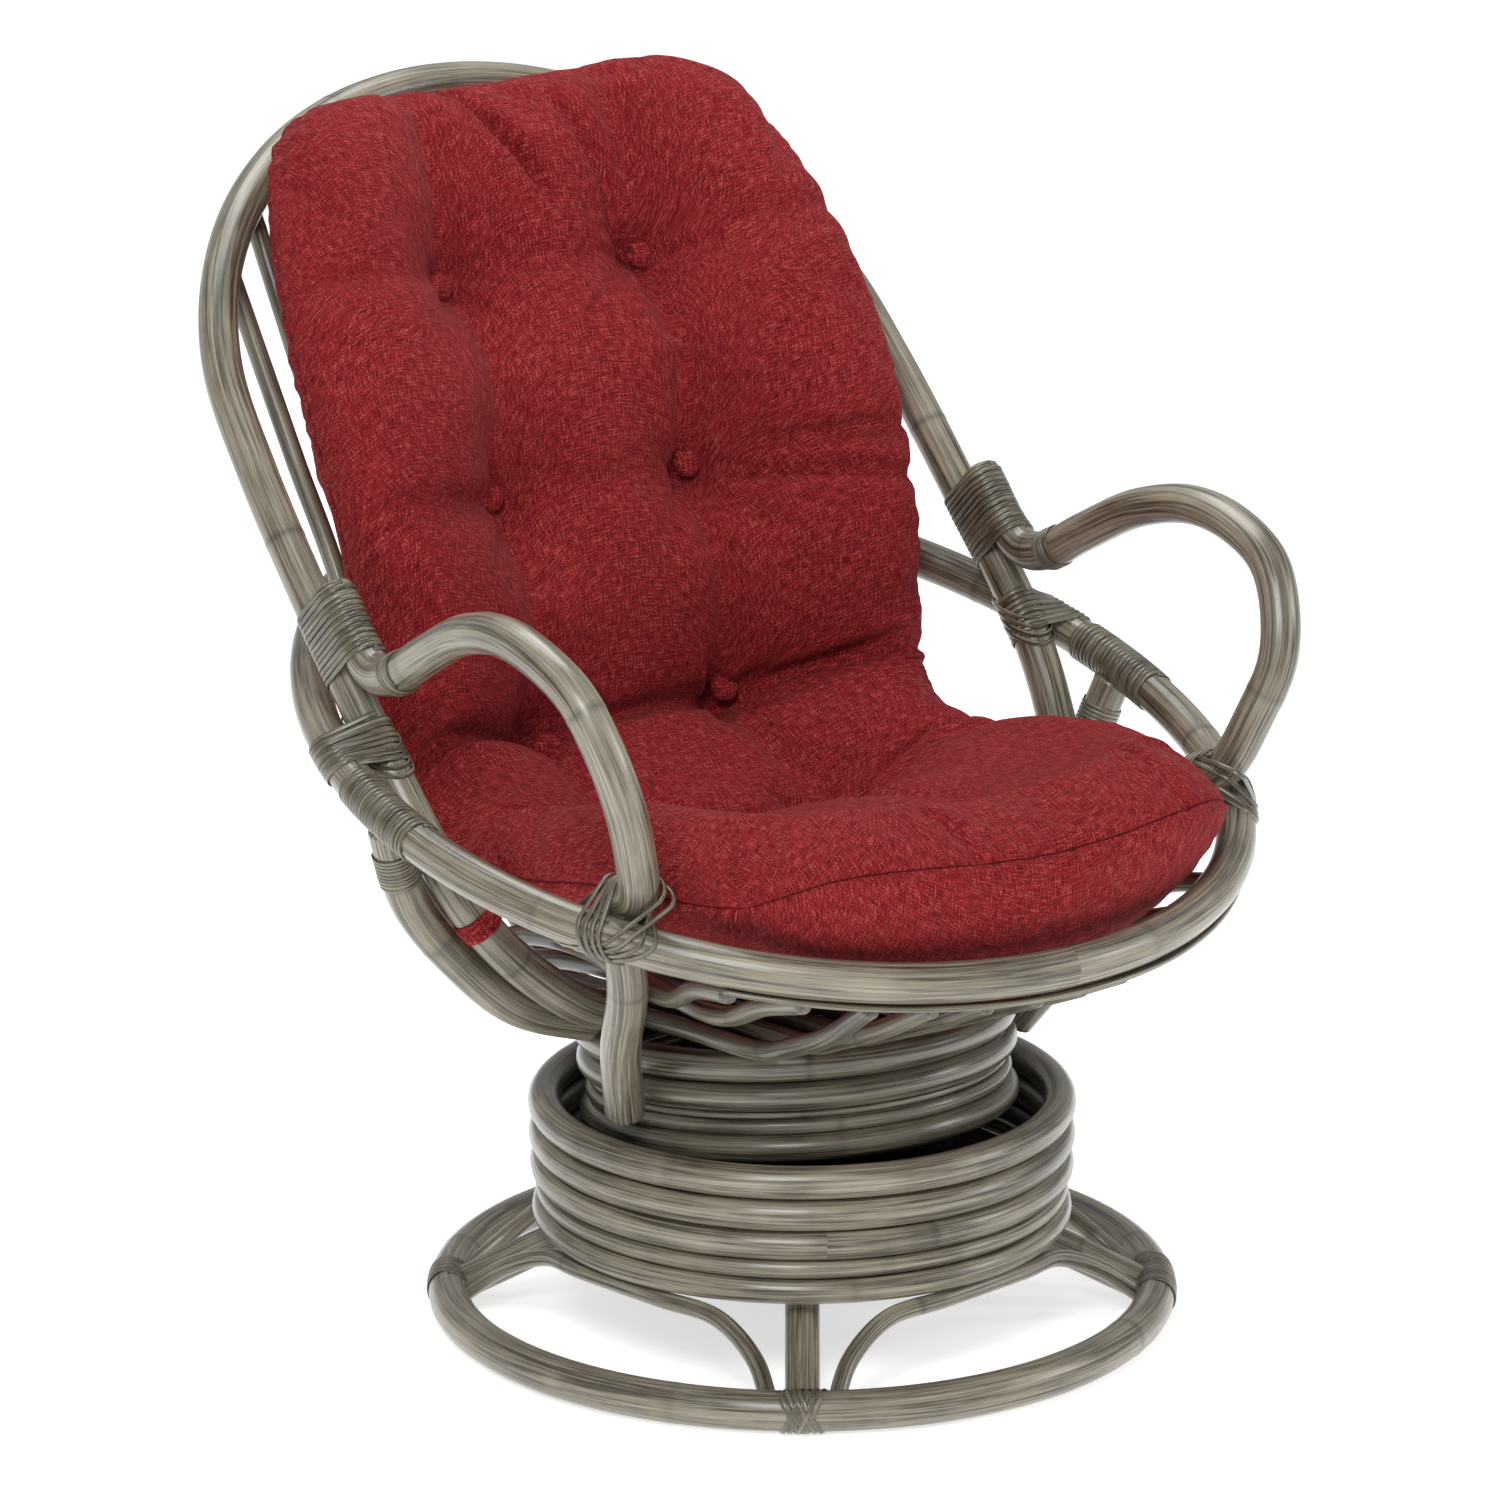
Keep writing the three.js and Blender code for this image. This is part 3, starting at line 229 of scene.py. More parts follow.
# A material and the short ways to wire it; a source is a socket or a constant
def shader(name):
    material = bpy.data.materials.new(name)
    material.use_nodes = True
    tree = material.node_tree
    surface = tree.nodes["Principled BSDF"]

    def join(source, socket):
        if isinstance(source, bpy.types.NodeSocket):
            tree.links.new(source, socket)
        else:
            socket.default_value = source

    def add(kind, sources=None, result=0, **settings):
        item = tree.nodes.new(kind)
        for key, value in settings.items():
            setattr(item, key, value)
        for key, source in (sources or {}).items():
            join(source, item.inputs[key])
        return item.outputs[result]

    def finish(sources):
        for key, source in sources.items():
            join(source, surface.inputs[key])

    def ramp(source, places, colours):
        item = tree.nodes.new("ShaderNodeValToRGB")
        join(source, item.inputs["Fac"])
        while len(item.color_ramp.elements) < len(places):
            item.color_ramp.elements.new(0.5)
        for element, place, colour in zip(item.color_ramp.elements, places, colours):
            element.position = place
            element.color = (*colour, 1)
        return item.outputs["Color"]

    def spot():
        return add("ShaderNodeTexCoord", result="Object")

    def run():
        return add("ShaderNodeUVMap", uv_map="run")

    def mark(key):
        return add("ShaderNodeAttribute", result="Fac", attribute_name=key)

    def scaled(place, scale):
        return add("ShaderNodeMapping", {"Vector": place, "Scale": scale})

    def noise(place, scale=1, detail=2, roughness=0.5):
        sources = {"Vector": place, "Scale": scale, "Detail": detail, "Roughness": roughness}
        return add("ShaderNodeTexNoise", sources, "Fac")

    def blended(value, share, rest):
        return add("ShaderNodeMath", {0: value, 1: share, 2: rest}, operation="MULTIPLY_ADD")

    def remap(value, low, high, toLow, toHigh):
        sources = {"Value": value, "From Min": low, "From Max": high, "To Min": toLow, "To Max": toHigh}
        return add("ShaderNodeMapRange", sources, "Result")

    def relief(height, strength, distance):
        sources = {"Strength": strength, "Distance": distance, "Height": height}
        finish({"Normal": add("ShaderNodeBump", sources)})

    return SimpleNamespace(
        material=material, add=add, finish=finish, ramp=ramp, spot=spot, run=run, mark=mark,
        scaled=scaled, noise=noise, blended=blended, remap=remap, relief=relief,
    )


rattanFinish = {
    "shades": ((0.018, 0.015, 0.010), (0.085, 0.074, 0.052), (0.225, 0.200, 0.146), (0.38, 0.345, 0.262)),
    "stops": (0.36, 0.45, 0.52, 0.64),
    "streakScale": (520, 9, 1),
    "bandScale": (140, 3.5, 1),
    "scuffScale": 16,
    "parts": (0.55, 0.3, 0.15),
    "jointStain": 0.5,
    "jointDent": -0.6,
    "roughness": (0.3, 0.7, 0.24, 0.45),
    "bump": 0.3,
    "bumpDepth": 0.0008,
    "coat": 0.5,
    "coatRoughness": 0.22,
}


def makeRattan(name, finish, paintedShadeFactor=1.0):
    shade = shader(name)
    run = shade.run()
    streak = shade.noise(shade.scaled(run, finish["streakScale"]), 1, 5, 0.65)
    band = shade.noise(shade.scaled(run, finish["bandScale"]), 1, 3, 0.55)
    scuff = shade.noise(shade.spot(), finish["scuffScale"], 4)
    whole = 0.0
    for pattern, part in zip((streak, band, scuff), finish["parts"]):
        whole = shade.blended(pattern, part, whole)
    # A factor below 1 darkens the whole rattan colour, which makes a darker copy that paints shade on the
    # parts under the seat
    colours = [tuple(c * paintedShadeFactor for c in colour) for colour in finish["shades"]]
    joint = shade.mark("knuckle")
    stained = shade.add("ShaderNodeMath", {0: joint, 1: finish["jointStain"]}, operation="MULTIPLY")
    wash = shade.ramp(whole, finish["stops"], colours)
    sources = {0: stained, 6: wash, 7: (*colours[0], 1)}
    shade.finish({
        "Base Color": shade.add("ShaderNodeMix", sources, 2, data_type="RGBA"),
        "Roughness": shade.remap(whole, *finish["roughness"]),
        "Coat Weight": finish["coat"],
        "Coat Roughness": finish["coatRoughness"],
    })
    shade.relief(shade.blended(joint, finish["jointDent"], streak), finish["bump"], finish["bumpDepth"])
    return shade.material


peelFinish = dict(
    rattanFinish,
    shades=(rattanFinish["shades"][0], (0.055, 0.046, 0.029), (0.135, 0.118, 0.08), (0.27, 0.245, 0.175)),
    streakScale=(900, 16, 1),
    bandScale=(300, 30, 1),
    bump=0.5,
)
rattan = makeRattan("greyWashedRattan", rattanFinish)
# Darker copy of the rattan for the pedestal rings and ribs under the seat: painted shade
paintedShadeRattan = makeRattan("greyWashedRattanPaintedShade", rattanFinish, 0.72)
peel = makeRattan("rattanPeel", peelFinish)

boardFinish = {
    "shades": ((0.008, 0.007, 0.006), (0.028, 0.025, 0.021), (0.05, 0.045, 0.038)),
    "stops": (0.3, 0.5, 0.7),
    "scale": (140, 8, 30),
    "roughness": 0.7,
    "bump": 0.2,
    "bumpDepth": 0.0005,
}


def makeBoard():
    shade = shader("stainedBoard")
    grain = shade.noise(shade.scaled(shade.spot(), boardFinish["scale"]), 1, 4)
    colour = shade.ramp(grain, boardFinish["stops"], boardFinish["shades"])
    shade.finish({"Base Color": colour, "Roughness": boardFinish["roughness"]})
    shade.relief(grain, boardFinish["bump"], boardFinish["bumpDepth"])
    return shade.material


steelFinish = {
    "shades": ((0.006, 0.006, 0.007), (0.022, 0.022, 0.025)),
    "stops": (0.35, 0.7),
    "scale": 900,
    "roughness": (0, 1, 0.28, 0.55),
    "metal": 0.6,
    "bump": 0.25,
    "bumpDepth": 0.0002,
}


def makeSteel():
    shade = shader("blackSteel")
    specks = shade.noise(shade.spot(), steelFinish["scale"], 3)
    shade.finish({
        "Base Color": shade.ramp(specks, steelFinish["stops"], steelFinish["shades"]),
        "Roughness": shade.remap(specks, *steelFinish["roughness"]),
        "Metallic": steelFinish["metal"],
    })
    shade.relief(specks, steelFinish["bump"], steelFinish["bumpDepth"])
    return shade.material


clothFinish = {
    "shades": ((0.075, 0.0045, 0.007), (0.170, 0.0088, 0.0130), (0.265, 0.020, 0.024), (0.40, 0.085, 0.075)),
    "stops": (0.35, 0.50, 0.62, 0.77),
    "thread": 0.0015,
    "slub": 0.011,
    "waveScale": 0.314,
    "fadeScale": 7,
    "fade": 0.08,
    # Maps the seam mask to a darkening of the cloth colour: painted shade in the seam's groove
    "paintedSeamShadeRamp": (0.84, 0.95, 0, -0.3),
    "yarnRise": 0.6,
    "bump": 0.35,
    "bumpDepth": 0.0004,
    "surface": {"Roughness": 0.9, "Sheen Weight": 0.02, "Sheen Roughness": 0.5, "Specular IOR Level": 0.1},
}


def makeCloth():
    shade = shader("redLinen")
    run = shade.run()
    threads = 1 / clothFinish["thread"]
    slubs = 1 / clothFinish["slub"]
    grid = shade.scaled(run, (threads, threads, 1))
    over = shade.add("ShaderNodeTexChecker", {"Vector": grid, "Scale": 1}, "Fac")
    scales = ((threads, slubs, 1), (slubs, threads, 1))
    tones = [shade.noise(shade.scaled(run, scale), 1, 1) for scale in scales]
    yarn = shade.add("ShaderNodeMix", {"Factor": over, "A": tones[0], "B": tones[1]})
    faded = shade.noise(shade.spot(), clothFinish["fadeScale"], 3)
    tone = shade.blended(faded, clothFinish["fade"], yarn)
    # Painted shade: the colour darkens towards the seam's groove, read from the seam attribute
    seam = shade.remap(shade.mark("seam"), *clothFinish["paintedSeamShadeRamp"])
    tone = shade.add("ShaderNodeMath", {0: seam, 1: tone})
    shade.finish({"Base Color": shade.ramp(tone, clothFinish["stops"], clothFinish["shades"])})
    wave = {"Vector": grid, "Scale": clothFinish["waveScale"], "Distortion": 0.5, "Detail": 1}
    warp, weft = [shade.add("ShaderNodeTexWave", wave, "Fac", bands_direction=way) for way in "XY"]
    weave = shade.add("ShaderNodeMath", {0: warp, 1: weft}, operation="MULTIPLY")
    shade.finish(clothFinish["surface"])
    height = shade.blended(yarn, clothFinish["yarnRise"], weave)
    shade.relief(height, clothFinish["bump"], clothFinish["bumpDepth"])
    return shade.material


board = makeBoard()
steel = makeSteel()
cloth = makeCloth()
print("materials made")


# Poles: round stock with knuckles where the leaves grew
poleStock = {
    "sides": 18,
    "firstKnuckle": (0.05, 0.2),
    "knuckleEvery": (0.26, 0.55),
    "lastKnuckle": 0.03,
    "knuckleRise": 0.022,
    "knuckleWidth": 0.0028,
    "wobble": 0.006,
    "wobbleTurn": 19,
    "endRounding": 0.0022,
    "endShare": 0.86,
}
clearOf = []  # every pole's route and radius, for the cushion to keep clear of


def sweepPole(bm, route, radius, seed, closed=False, plane=None, stock=poleStock):
    rng = random.Random(seed)
    along = tangents(route, closed)
    reach = reaches(route)
    length = reach[-1]
    knuckles = []
    place = rng.uniform(*stock["firstKnuckle"])
    while place < length - stock["lastKnuckle"]:
        knuckles.append(place)
        place += rng.uniform(*stock["knuckleEvery"])
    side = plane or along[0].orthogonal().normalized()
    phase = rng.uniform(0, tau)
    frames = []
    start = rng.uniform(0, 30)
    for point, tangent, s in zip(route, along, reach):
        side = plane or side
        side = (side - tangent * side.dot(tangent)).normalized()
        near = max((exp(-(((s - q) / stock["knuckleWidth"]) ** 2)) for q in knuckles), default=0.0)
        ends = 0.0 if closed else sin(pi * s / length)
        wave = sin(stock["wobbleTurn"] * s + phase)
        swell = radius * (1 + stock["knuckleRise"] * near + stock["wobble"] * ends * wave)
        frames.append(ringFrame(point, side.cross(tangent), side, swell, swell, start + s, knuckle=near))
    if closed:
        frames[-1].update({key: frames[0][key] for key in ("at", "out", "side", "reach", "width")})
    else:
        small = radius * stock["endShare"]
        for end, inward in ((0, 1), (-1, -1)):
            tip = dict(frames[end], reach=small, width=small)
            frames[end]["at"] = frames[end]["at"] + along[end] * (inward * stock["endRounding"])
            frames.insert(0 if end == 0 else len(frames), tip)
    sweep(bm, roundSection(stock["sides"]), frames, closed, tau * radius)


def makePole(node, route, radius, body, seed, material=rattan, closed=False, plane=None):
    bm = bmesh.new()
    sweepPole(bm, route, radius, seed, closed, plane)
    clearOf.append((route, radius))
    return replacing(node, bm, material, body, "rattan")


# Floor ring, drum, posts and braces
base = {
    "floorRadius": 0.3,
    "floorPole": 0.0170,
    "floorHeight": 0.0182,
    "postInside": 0.011,
    "postRadius": 0.0145,
    "postReach": 0.1915,
    "postTop": 0.100,
    "postBend": 0.084,
    "postOutShares": (0, 0, 0.06, 0.38, 1),
    "postHeightShares": (1, 0.8, 0.585, 0.37, 0),
    "braceInside": 0.012,
    "braceRadius": 0.0075,
    "braceFootSide": 0.0275,
    "braceUnder": 0.0724,
    "braceTurnShares": (0, 0.045, 0.16, 0.34),
    "braceReachShares": (1, 0.55, 0.13, 0.01),
    "braceHeightShares": (0, 0.5, 0.9, 1),
    "drumRadius": 0.2173,
    "drumBottom": 0.0805,
    "drumTurn": 2.4,
    "drumPoles": (0.011, 0.008, 0.0125, 0.0135, 0.014),
}


def stackHeights(radii, bottom):
    heights = []
    for radius in radii:
        heights.append(bottom + radius)
        bottom += 2 * radius + touch
    return heights


def postRoute():
    rise = base["postTop"] - base["floorHeight"]
    points = []
    for k, (out, height) in enumerate(zip(base["postOutShares"], base["postHeightShares"])):
        z = base["postBend"] if k == 1 else base["floorHeight"] + height * rise
        reach = base["postReach"] + out * (base["floorRadius"] - base["postInside"] - base["postReach"])
        points.append(Vector((0, -reach, z)))
    return smoothRoute(points)


def braceRoute():
    footTurn = base["braceFootSide"] / base["floorRadius"]
    quarter = tau / 4
    outer = base["floorRadius"] - base["braceInside"]
    half = []
    shares = zip(base["braceTurnShares"], base["braceReachShares"], base["braceHeightShares"])
    for turn, reach, height in shares:
        half.append((
            footTurn + turn * (quarter - 2 * footTurn),
            base["drumRadius"] + reach * (outer - base["drumRadius"]),
            base["floorHeight"] + height * (base["braceUnder"] - base["floorHeight"]),
        ))
    other = [(quarter - turn, reach, height) for turn, reach, height in reversed(half)]
    return smoothRoute([Vector((r * sin(t), -r * cos(t), z)) for t, r, z in half + other])


floorRoute = placed(ringRoute(base["floorRadius"], base["floorHeight"]), basePlace)
makePole("floor_ring", floorRoute, base["floorPole"], "base", 3, closed=True, plane=up)
for k, height in enumerate(stackHeights(base["drumPoles"], base["drumBottom"])):
    turned = basePlace @ Matrix.Rotation(base["drumTurn"] * k, 4, "Z")
    route = placed(ringRoute(base["drumRadius"], height), turned)
    makePole(f"drum_ring_{k + 1}", route, base["drumPoles"][k], "base", 11 + k, closed=True, plane=up)
quarters = ("front", "right", "rear", "left")
for k, quarter in enumerate(quarters):
    turned = basePlace @ Matrix.Rotation(tau * k / 4, 4, "Z")
    makePole(f"post_{quarter}", placed(postRoute(), turned), base["postRadius"], "base", 20 + k)
    makePole(f"brace_{quarter}", placed(braceRoute(), turned), base["braceRadius"], "base", 30 + k)
print("base made")

# Pedestal under the seat
pedestal = {
    "radius": 0.174,
    "poles": (0.01175, 0.0065, 0.003, 0.01225, 0.0135),
    "turn": 1.9,
    "names": ("ring_low", "cord_thick", "cord_thin", "ring_high", "ring_top"),
    "bottom": 0.17485,
}
seatUp = (seatTurn @ up).normalized()
pedestalHeights = stackHeights(pedestal["poles"], pedestal["bottom"])
for k, radius in enumerate(pedestal["poles"]):
    turned = seatPlace @ Matrix.Rotation(pedestal["turn"] * k, 4, "Z")
    route = placed(ringRoute(pedestal["radius"], pedestalHeights[k]), turned)
    # The pedestal rings take the darker rattan copy: painted shade under the seat
    makePole(f"pedestal_{pedestal['names'][k]}", route, radius, "seat", 41 + k, paintedShadeRattan, True, seatUp)
pedestalTop = pedestalHeights[-1] + pedestal["poles"][-1]

# Seat hoop
hoop = {
    "radius": 0.017,
    "halfWidth": 0.380,
    "halfLength": 0.414,
    "middle": (0, 0.005, 0.505),
    "tilt": radians(20.5),
    "dip": 0.018,
}


def hoopPoint(turn):
    along = -hoop["halfLength"] * cos(turn)
    dip = -hoop["dip"] * sin(turn) ** 2
    c, s = cos(hoop["tilt"]), sin(hoop["tilt"])
    offset = Vector((hoop["halfWidth"] * sin(turn), along * c - dip * s, along * s + dip * c))
    return Vector(hoop["middle"]) + offset


def hoopSpot(share):
    return hoopPoint(tau * share)


def hoopAt(x, rear):
    turn = asin(x / hoop["halfWidth"])
    return hoopPoint(pi - turn if rear else turn)


hoopLevel = evenRoute([hoopPoint(tau * k / 720) for k in range(721)], 0.006)
hoopNormal = seatTurn @ Vector((0, -sin(hoop["tilt"]), cos(hoop["tilt"])))
makePole("seat_hoop", placed(hoopLevel, seatPlace), hoop["radius"], "seat", 51, closed=True, plane=hoopNormal)

# Back hoop
back = {
    "radius": 0.017,
    "halfWidth": 0.331,
    "legHalfWidth": 0.335,
    "foot": Vector((0, 0.09398, 0.528)),
    "recline": radians(38.3),
    "archCentre": 0.285,
    "archSteps": 6,
    "sideShares": (0.95, 0.45),
    "legShares": (
        (0.938, 0.49, 0.69), (0.823, 0.16, 0.45), (0.542, 0.17, 0.235), (0.168, 0.18, 0.05), (-0.06, 0.18, 0),
    ),
}
backUp = Vector((0, sin(back["recline"]), cos(back["recline"])))
backFront = Vector((0, -cos(back["recline"]), sin(back["recline"])))
legSeat = pedestalTop + touch + back["radius"]


def backPlace(x, reach):
    spot = back["foot"] + backUp * reach
    return Vector((x, spot.y, spot.z))


def backHalf():
    points = []
    for k in range(back["archSteps"]):
        turn = pi / 2 * k / back["archSteps"]
        reach = back["archCentre"] + back["halfWidth"] * cos(turn)
        points.append(backPlace(back["halfWidth"] * sin(turn), reach))
    upper, lower = back["sideShares"]
    points.append(backPlace(back["halfWidth"], back["archCentre"] * upper))
    points.append(backPlace(back["legHalfWidth"], back["archCentre"] * lower))
    points.append(backPlace(back["legHalfWidth"], 0))
    for x, y, z in back["legShares"]:
        height = legSeat + z * (back["foot"].z - legSeat)
        reach = pedestal["radius"] + x * (back["legHalfWidth"] - pedestal["radius"])
        points.append(Vector((reach, y * back["foot"].y, height)))
    return points


rightHalf = backHalf()
backLevel = smoothRoute(flipped(reversed(rightHalf[1:])) + rightHalf)
makePole("back_hoop", placed(backLevel, seatPlace), back["radius"], "seat", 61)

# Arms
arm = {
    "radius": 0.017,
    "halfWidth": 0.354,
    "forward": 0.25213,
    "top": 0.645,
    "foot": 0.219,
    "lap": 0.137,
    "lapShares": (1, 0.79, 0.58),
    "sweepShares": (
        (0.949, 0.365, 0.881), (0.952, 0.246, 0.883), (0.96, 0.048, 0.934), (0.977, -0.23, 1),
        (0.994, -0.492, 1.021), (1, -0.706, 0.995), (0.992, -0.889, 0.934), (0.972, -0.972, 0.847),
        (0.941, -1, 0.749),
    ),
    "overHoop": 0.080,
    "overShares": (Vector((-0.066, -0.56, 1)), Vector((-0.278, -0.273, 0.424))),
    "underShares": ((1.9, -0.555, 0.312), (0.41, -0.345, 0.16)),
    "besideRibs": 0.23012,
    "inward": Vector((-0.79, 0.3, 0.54)),
    "crossingShare": 0.161,
    "footTurn": radians(10),
}


def armPlace(shares, under=False):
    x, y, z = shares
    x = arm["besideRibs"] + x * arm["radius"] if under else x * arm["halfWidth"]
    return Vector((x, y * arm["forward"], arm["foot"] + z * (arm["top"] - arm["foot"])))


def armRoute():
    beside = arm["radius"] + back["radius"] + touch
    lap = [backPlace(back["legHalfWidth"], share * arm["lap"]) for share in arm["lapShares"]]
    lap = [point + backFront * beside for point in lap]
    crossing = hoopSpot(arm["crossingShare"])
    inside = crossing + arm["inward"].normalized() * (hoop["radius"] + arm["radius"] + 5 * touch)
    reach = pedestal["radius"] + pedestal["poles"][-1] + arm["radius"] + 2 * touch
    foot = Vector((reach * cos(arm["footTurn"]), -reach * sin(arm["footTurn"]), arm["foot"]))
    return smoothRoute(
        lap + [armPlace(s) for s in arm["sweepShares"]]
        + [crossing + s * arm["overHoop"] for s in arm["overShares"]] + [inside]
        + [armPlace(s, True) for s in arm["underShares"]] + [foot]
    )


armLevel = {1: armRoute()}
armLevel[-1] = flipped(armLevel[1])

# Side bows
bow = {
    "radius": 0.0165,
    "y": 0.047,
    "shares": ((0, 0, 0.02), (0.37, -0.04, 0.15), (0.62, 0, 0.36), (0.83, -0.03, 0.61), (0.954, -0.33, 0.88)),
    "topShare": 0.255,
    "lastShare": 0.55,
}


def bowRoute():
    top = hoopSpot(bow["topShare"])
    points = []
    for x, y, z in bow["shares"]:
        points.append(Vector((
            pedestal["radius"] + x * (top.x - pedestal["radius"]),
            bow["y"] * (1 + y),
            pedestalTop + z * (top.z - pedestalTop),
        )))
    points.append(points[-1].lerp(top, bow["lastShare"]))
    return smoothRoute(points)


bowLevel = {1: bowRoute()}
bowLevel[-1] = flipped(bowLevel[1])
sides = {1: "right", -1: "left"}
for sign, sideName in sides.items():
    makePole(f"arm_{sideName}", placed(armLevel[sign], seatPlace), arm["radius"], "seat", 70 + sign)
    makePole(f"side_bow_{sideName}", placed(bowLevel[sign], seatPlace), bow["radius"], "seat", 75 + sign)
print("hoops, arms and bows made")

# Ribs and their batten; the flats are where the solids' faceted poles touch
rib = {
    "radius": 0.0085,
    "flat": 0.0085 * cos(pi / 5),
    "backFlat": back["radius"] * cos(pi / 8),
    "pitch": 0.04598,
    "onPedestal": 4,
    "half": 6,
    "risePower": 0.75,
    "underHoop": 0.023,
    "insideHoop": 0.012,
    "splay": (1, 0.96, 0.91, 0.91, 0.91, 0.91, 0.94, 0.97, 1, 1, 1, 1, 1, 1, 1),
    "rearShares": Vector((0, -0.97, 0.24)),
    "riseShares": Vector((0, 0.2, 0.98)),
    "backShares": (0.42, 0.76),
    "seatShares": (
        (-0.8, 0.085, 0.15), (-0.6, 0.025, 0.155), (-0.5, 0, 0.18), (-0.16, 0, 0.24), (0.16, 0, 0.24),
        (0.5, 0, 0.19), (0.65, 0.07, 0.14), (0.8, 0.22, 0.08), (0.92, 0.47, 0.04), (0.975, 0.74, 0.01),
    ),
}
ribSeat = pedestalTop + 6 * touch + rib["radius"]


def ribRoute(x):
    past = max(0, x / rib["pitch"] + 0.5 - rib["onPedestal"])
    out = (past / (rib["half"] - rib["onPedestal"])) ** rib["risePower"]
    front = hoopAt(x, False) + Vector((0, rib["insideHoop"], -rib["underHoop"]))
    turn = pi - asin(x / hoop["halfWidth"])
    direction = (hoopPoint(turn + 0.001) - hoopPoint(turn - 0.001)).normalized()
    normal = direction.cross(rib["riseShares"]).normalized()
    beside = rib["radius"] + hoop["radius"] + 9 * touch
    rear = hoopAt(x, True) + rib["rearShares"] * (beside / abs(normal.dot(rib["rearShares"])))
    arch = sqrt(1 - (x / back["halfWidth"]) ** 2)
    behind = rib["flat"] + rib["backFlat"] + 5 * touch
    top = backPlace(x, back["archCentre"] + back["halfWidth"] * arch) - backFront * behind
    points = [front]
    for y, z, share in rib["seatShares"]:
        points.append(Vector((x, y * rear.y, ribSeat + (z + share * out) * (rear.z - ribSeat))))
    points += [rear] + [rear.lerp(top, share) for share in rib["backShares"]] + [top]
    for k, point in enumerate(points):
        point.x = x * rib["splay"][k]
    return smoothRoute(points)


for sign, sideName in sides.items():
    for k in range(rib["half"]):
        level = ribRoute(rib["pitch"] * (k + 0.5))
        route = placed(level if sign > 0 else flipped(level), seatPlace)
        # The ribs take the darker rattan copy: painted shade under the cushion
        makePole(f"rib_{sideName}_{k + 1}", route, rib["radius"], "seat", 100 + 10 * sign + k, paintedShadeRattan)

batten = {
    "halfWidth": 0.262,
    "width": 0.012,
    "thickness": 0.004,
    "section": ((-0.7, -1), (0.7, -1), (1, -0.8), (1, 0.8), (0.7, 1), (-0.7, 1), (-1, 0.8), (-1, -0.8)),
}


def makeBatten():
    under = hoop["radius"] + batten["thickness"] / 2 + 4 * touch
    offset = Vector((0, -batten["width"] / 4, -under))
    route = [hoopAt(batten["halfWidth"] * (k / 40 - 1), False) + offset for k in range(81)]
    route = placed(evenRoute(route), seatPlace)
    frames = []
    for k, (point, tangent) in enumerate(zip(route, tangents(route))):
        side = up.cross(tangent).normalized()
        out = tangent.cross(side)
        frames.append(ringFrame(point, out, side, batten["thickness"] / 2, batten["width"] / 2, 0.005 * k))
    bm = bmesh.new()
    sweep(bm, batten["section"], frames, around=2 * (batten["width"] + batten["thickness"]))
    return replacing("rib_batten", bm, rattan, "seat", "rattan")


makeBatten()
print("ribs made")

# Peel strips, wound round whatever poles they hold
strip = {
    "width": 0.0046,
    "thickness": 0.0013,
    "stations": 26,
    "marks": 6,
    "slack": 0.0004,
    "section": ((-0.1, -0.5), (-0.1, 0.5), (0.55, 0.47), (0.9, 0.27), (1, 0), (0.9, -0.27), (0.55, -0.47)),
    "looseness": 0.0002,
    "sway": 0.09,
    "steepest": 0.15,
}


def crossed(route, radius, origin, along, near):
    best = None
    for p, q in zip(route, route[1:]):
        a, b = (p - origin).dot(along), (q - origin).dot(along)
        if a * b > 0 or a == b:
            continue
        point = p.lerp(q, a / (a - b))
        gap = (point - near).length
        if best is None or gap < best[0]:
            best = (gap, point, (q - p).normalized())
    if best is None:
        return None
    _, centre, tangent = best
    upright = tangent.dot(along)
    if abs(upright) < strip["steepest"]:
        return None
    return {"centre": centre, "lean": (tangent - along * upright) / upright, "radius": radius}


# Winds a strand round the held poles; at each turn it lies on whichever pole stands out furthest
def wind(bm, held, origin, along, toward, turns, pitch, slack=strip["slack"], seed=0, width=strip["width"]):
    rng = random.Random(seed)
    along = along.normalized()
    side = (toward - along * toward.dot(along)).normalized()
    lift = along.cross(side)
    marks = strip["marks"]
    rounds = []
    for k in range(marks + 1):
        here = origin + along * ((k / marks - 0.5) * turns * pitch)
        rounds.append([crossed(route, radius, here, along, here) for route, radius in held])
    frames = []
    total = round(turns * strip["stations"])
    wander = [rng.uniform(-1, 1) for _ in range(int(turns) + 3)]
    lastPoint = None
    run = rng.uniform(0, 9)
    for k in range(total + 1):
        share = k / total
        turn = tau * k / strip["stations"]
        at = share * marks
        low = min(int(at), marks - 1)
        here = origin + along * ((share - 0.5) * turns * pitch)
        out = side * cos(turn) + lift * sin(turn)
        best = None
        for first, second in zip(rounds[low], rounds[low + 1]):
            if first is None or second is None:
                continue
            centre = first["centre"].lerp(second["centre"], at - low)
            lean = first["lean"].lerp(second["lean"], at - low)
            slope = out.dot(lean)
            stretch = sqrt(1 + slope * slope)
            reach = (centre - here).dot(out) + first["radius"] * stretch
            if best is None or reach > best[0]:
                tilt = (lean - along * lean.dot(along)) * slope
                best = (reach, centre + (out + tilt) * (first["radius"] / stretch))
        index = k / strip["stations"]
        jog = wander[int(index)] + (wander[int(index) + 1] - wander[int(index)]) * (index % 1)
        stray = along * (strip["sway"] * pitch * jog)
        point = best[1] + out * (slack + strip["looseness"] * abs(jog)) + stray
        if lastPoint is not None:
            run += (point - lastPoint).length
        lastPoint = point
        tuck = min(1, 6 * min(share, 1 - share) * turns)
        frames.append(ringFrame(point, out, along, strip["thickness"] * (0.5 + 0.5 * tuck), width, run))
    sweep(bm, strip["section"], frames, around=width)


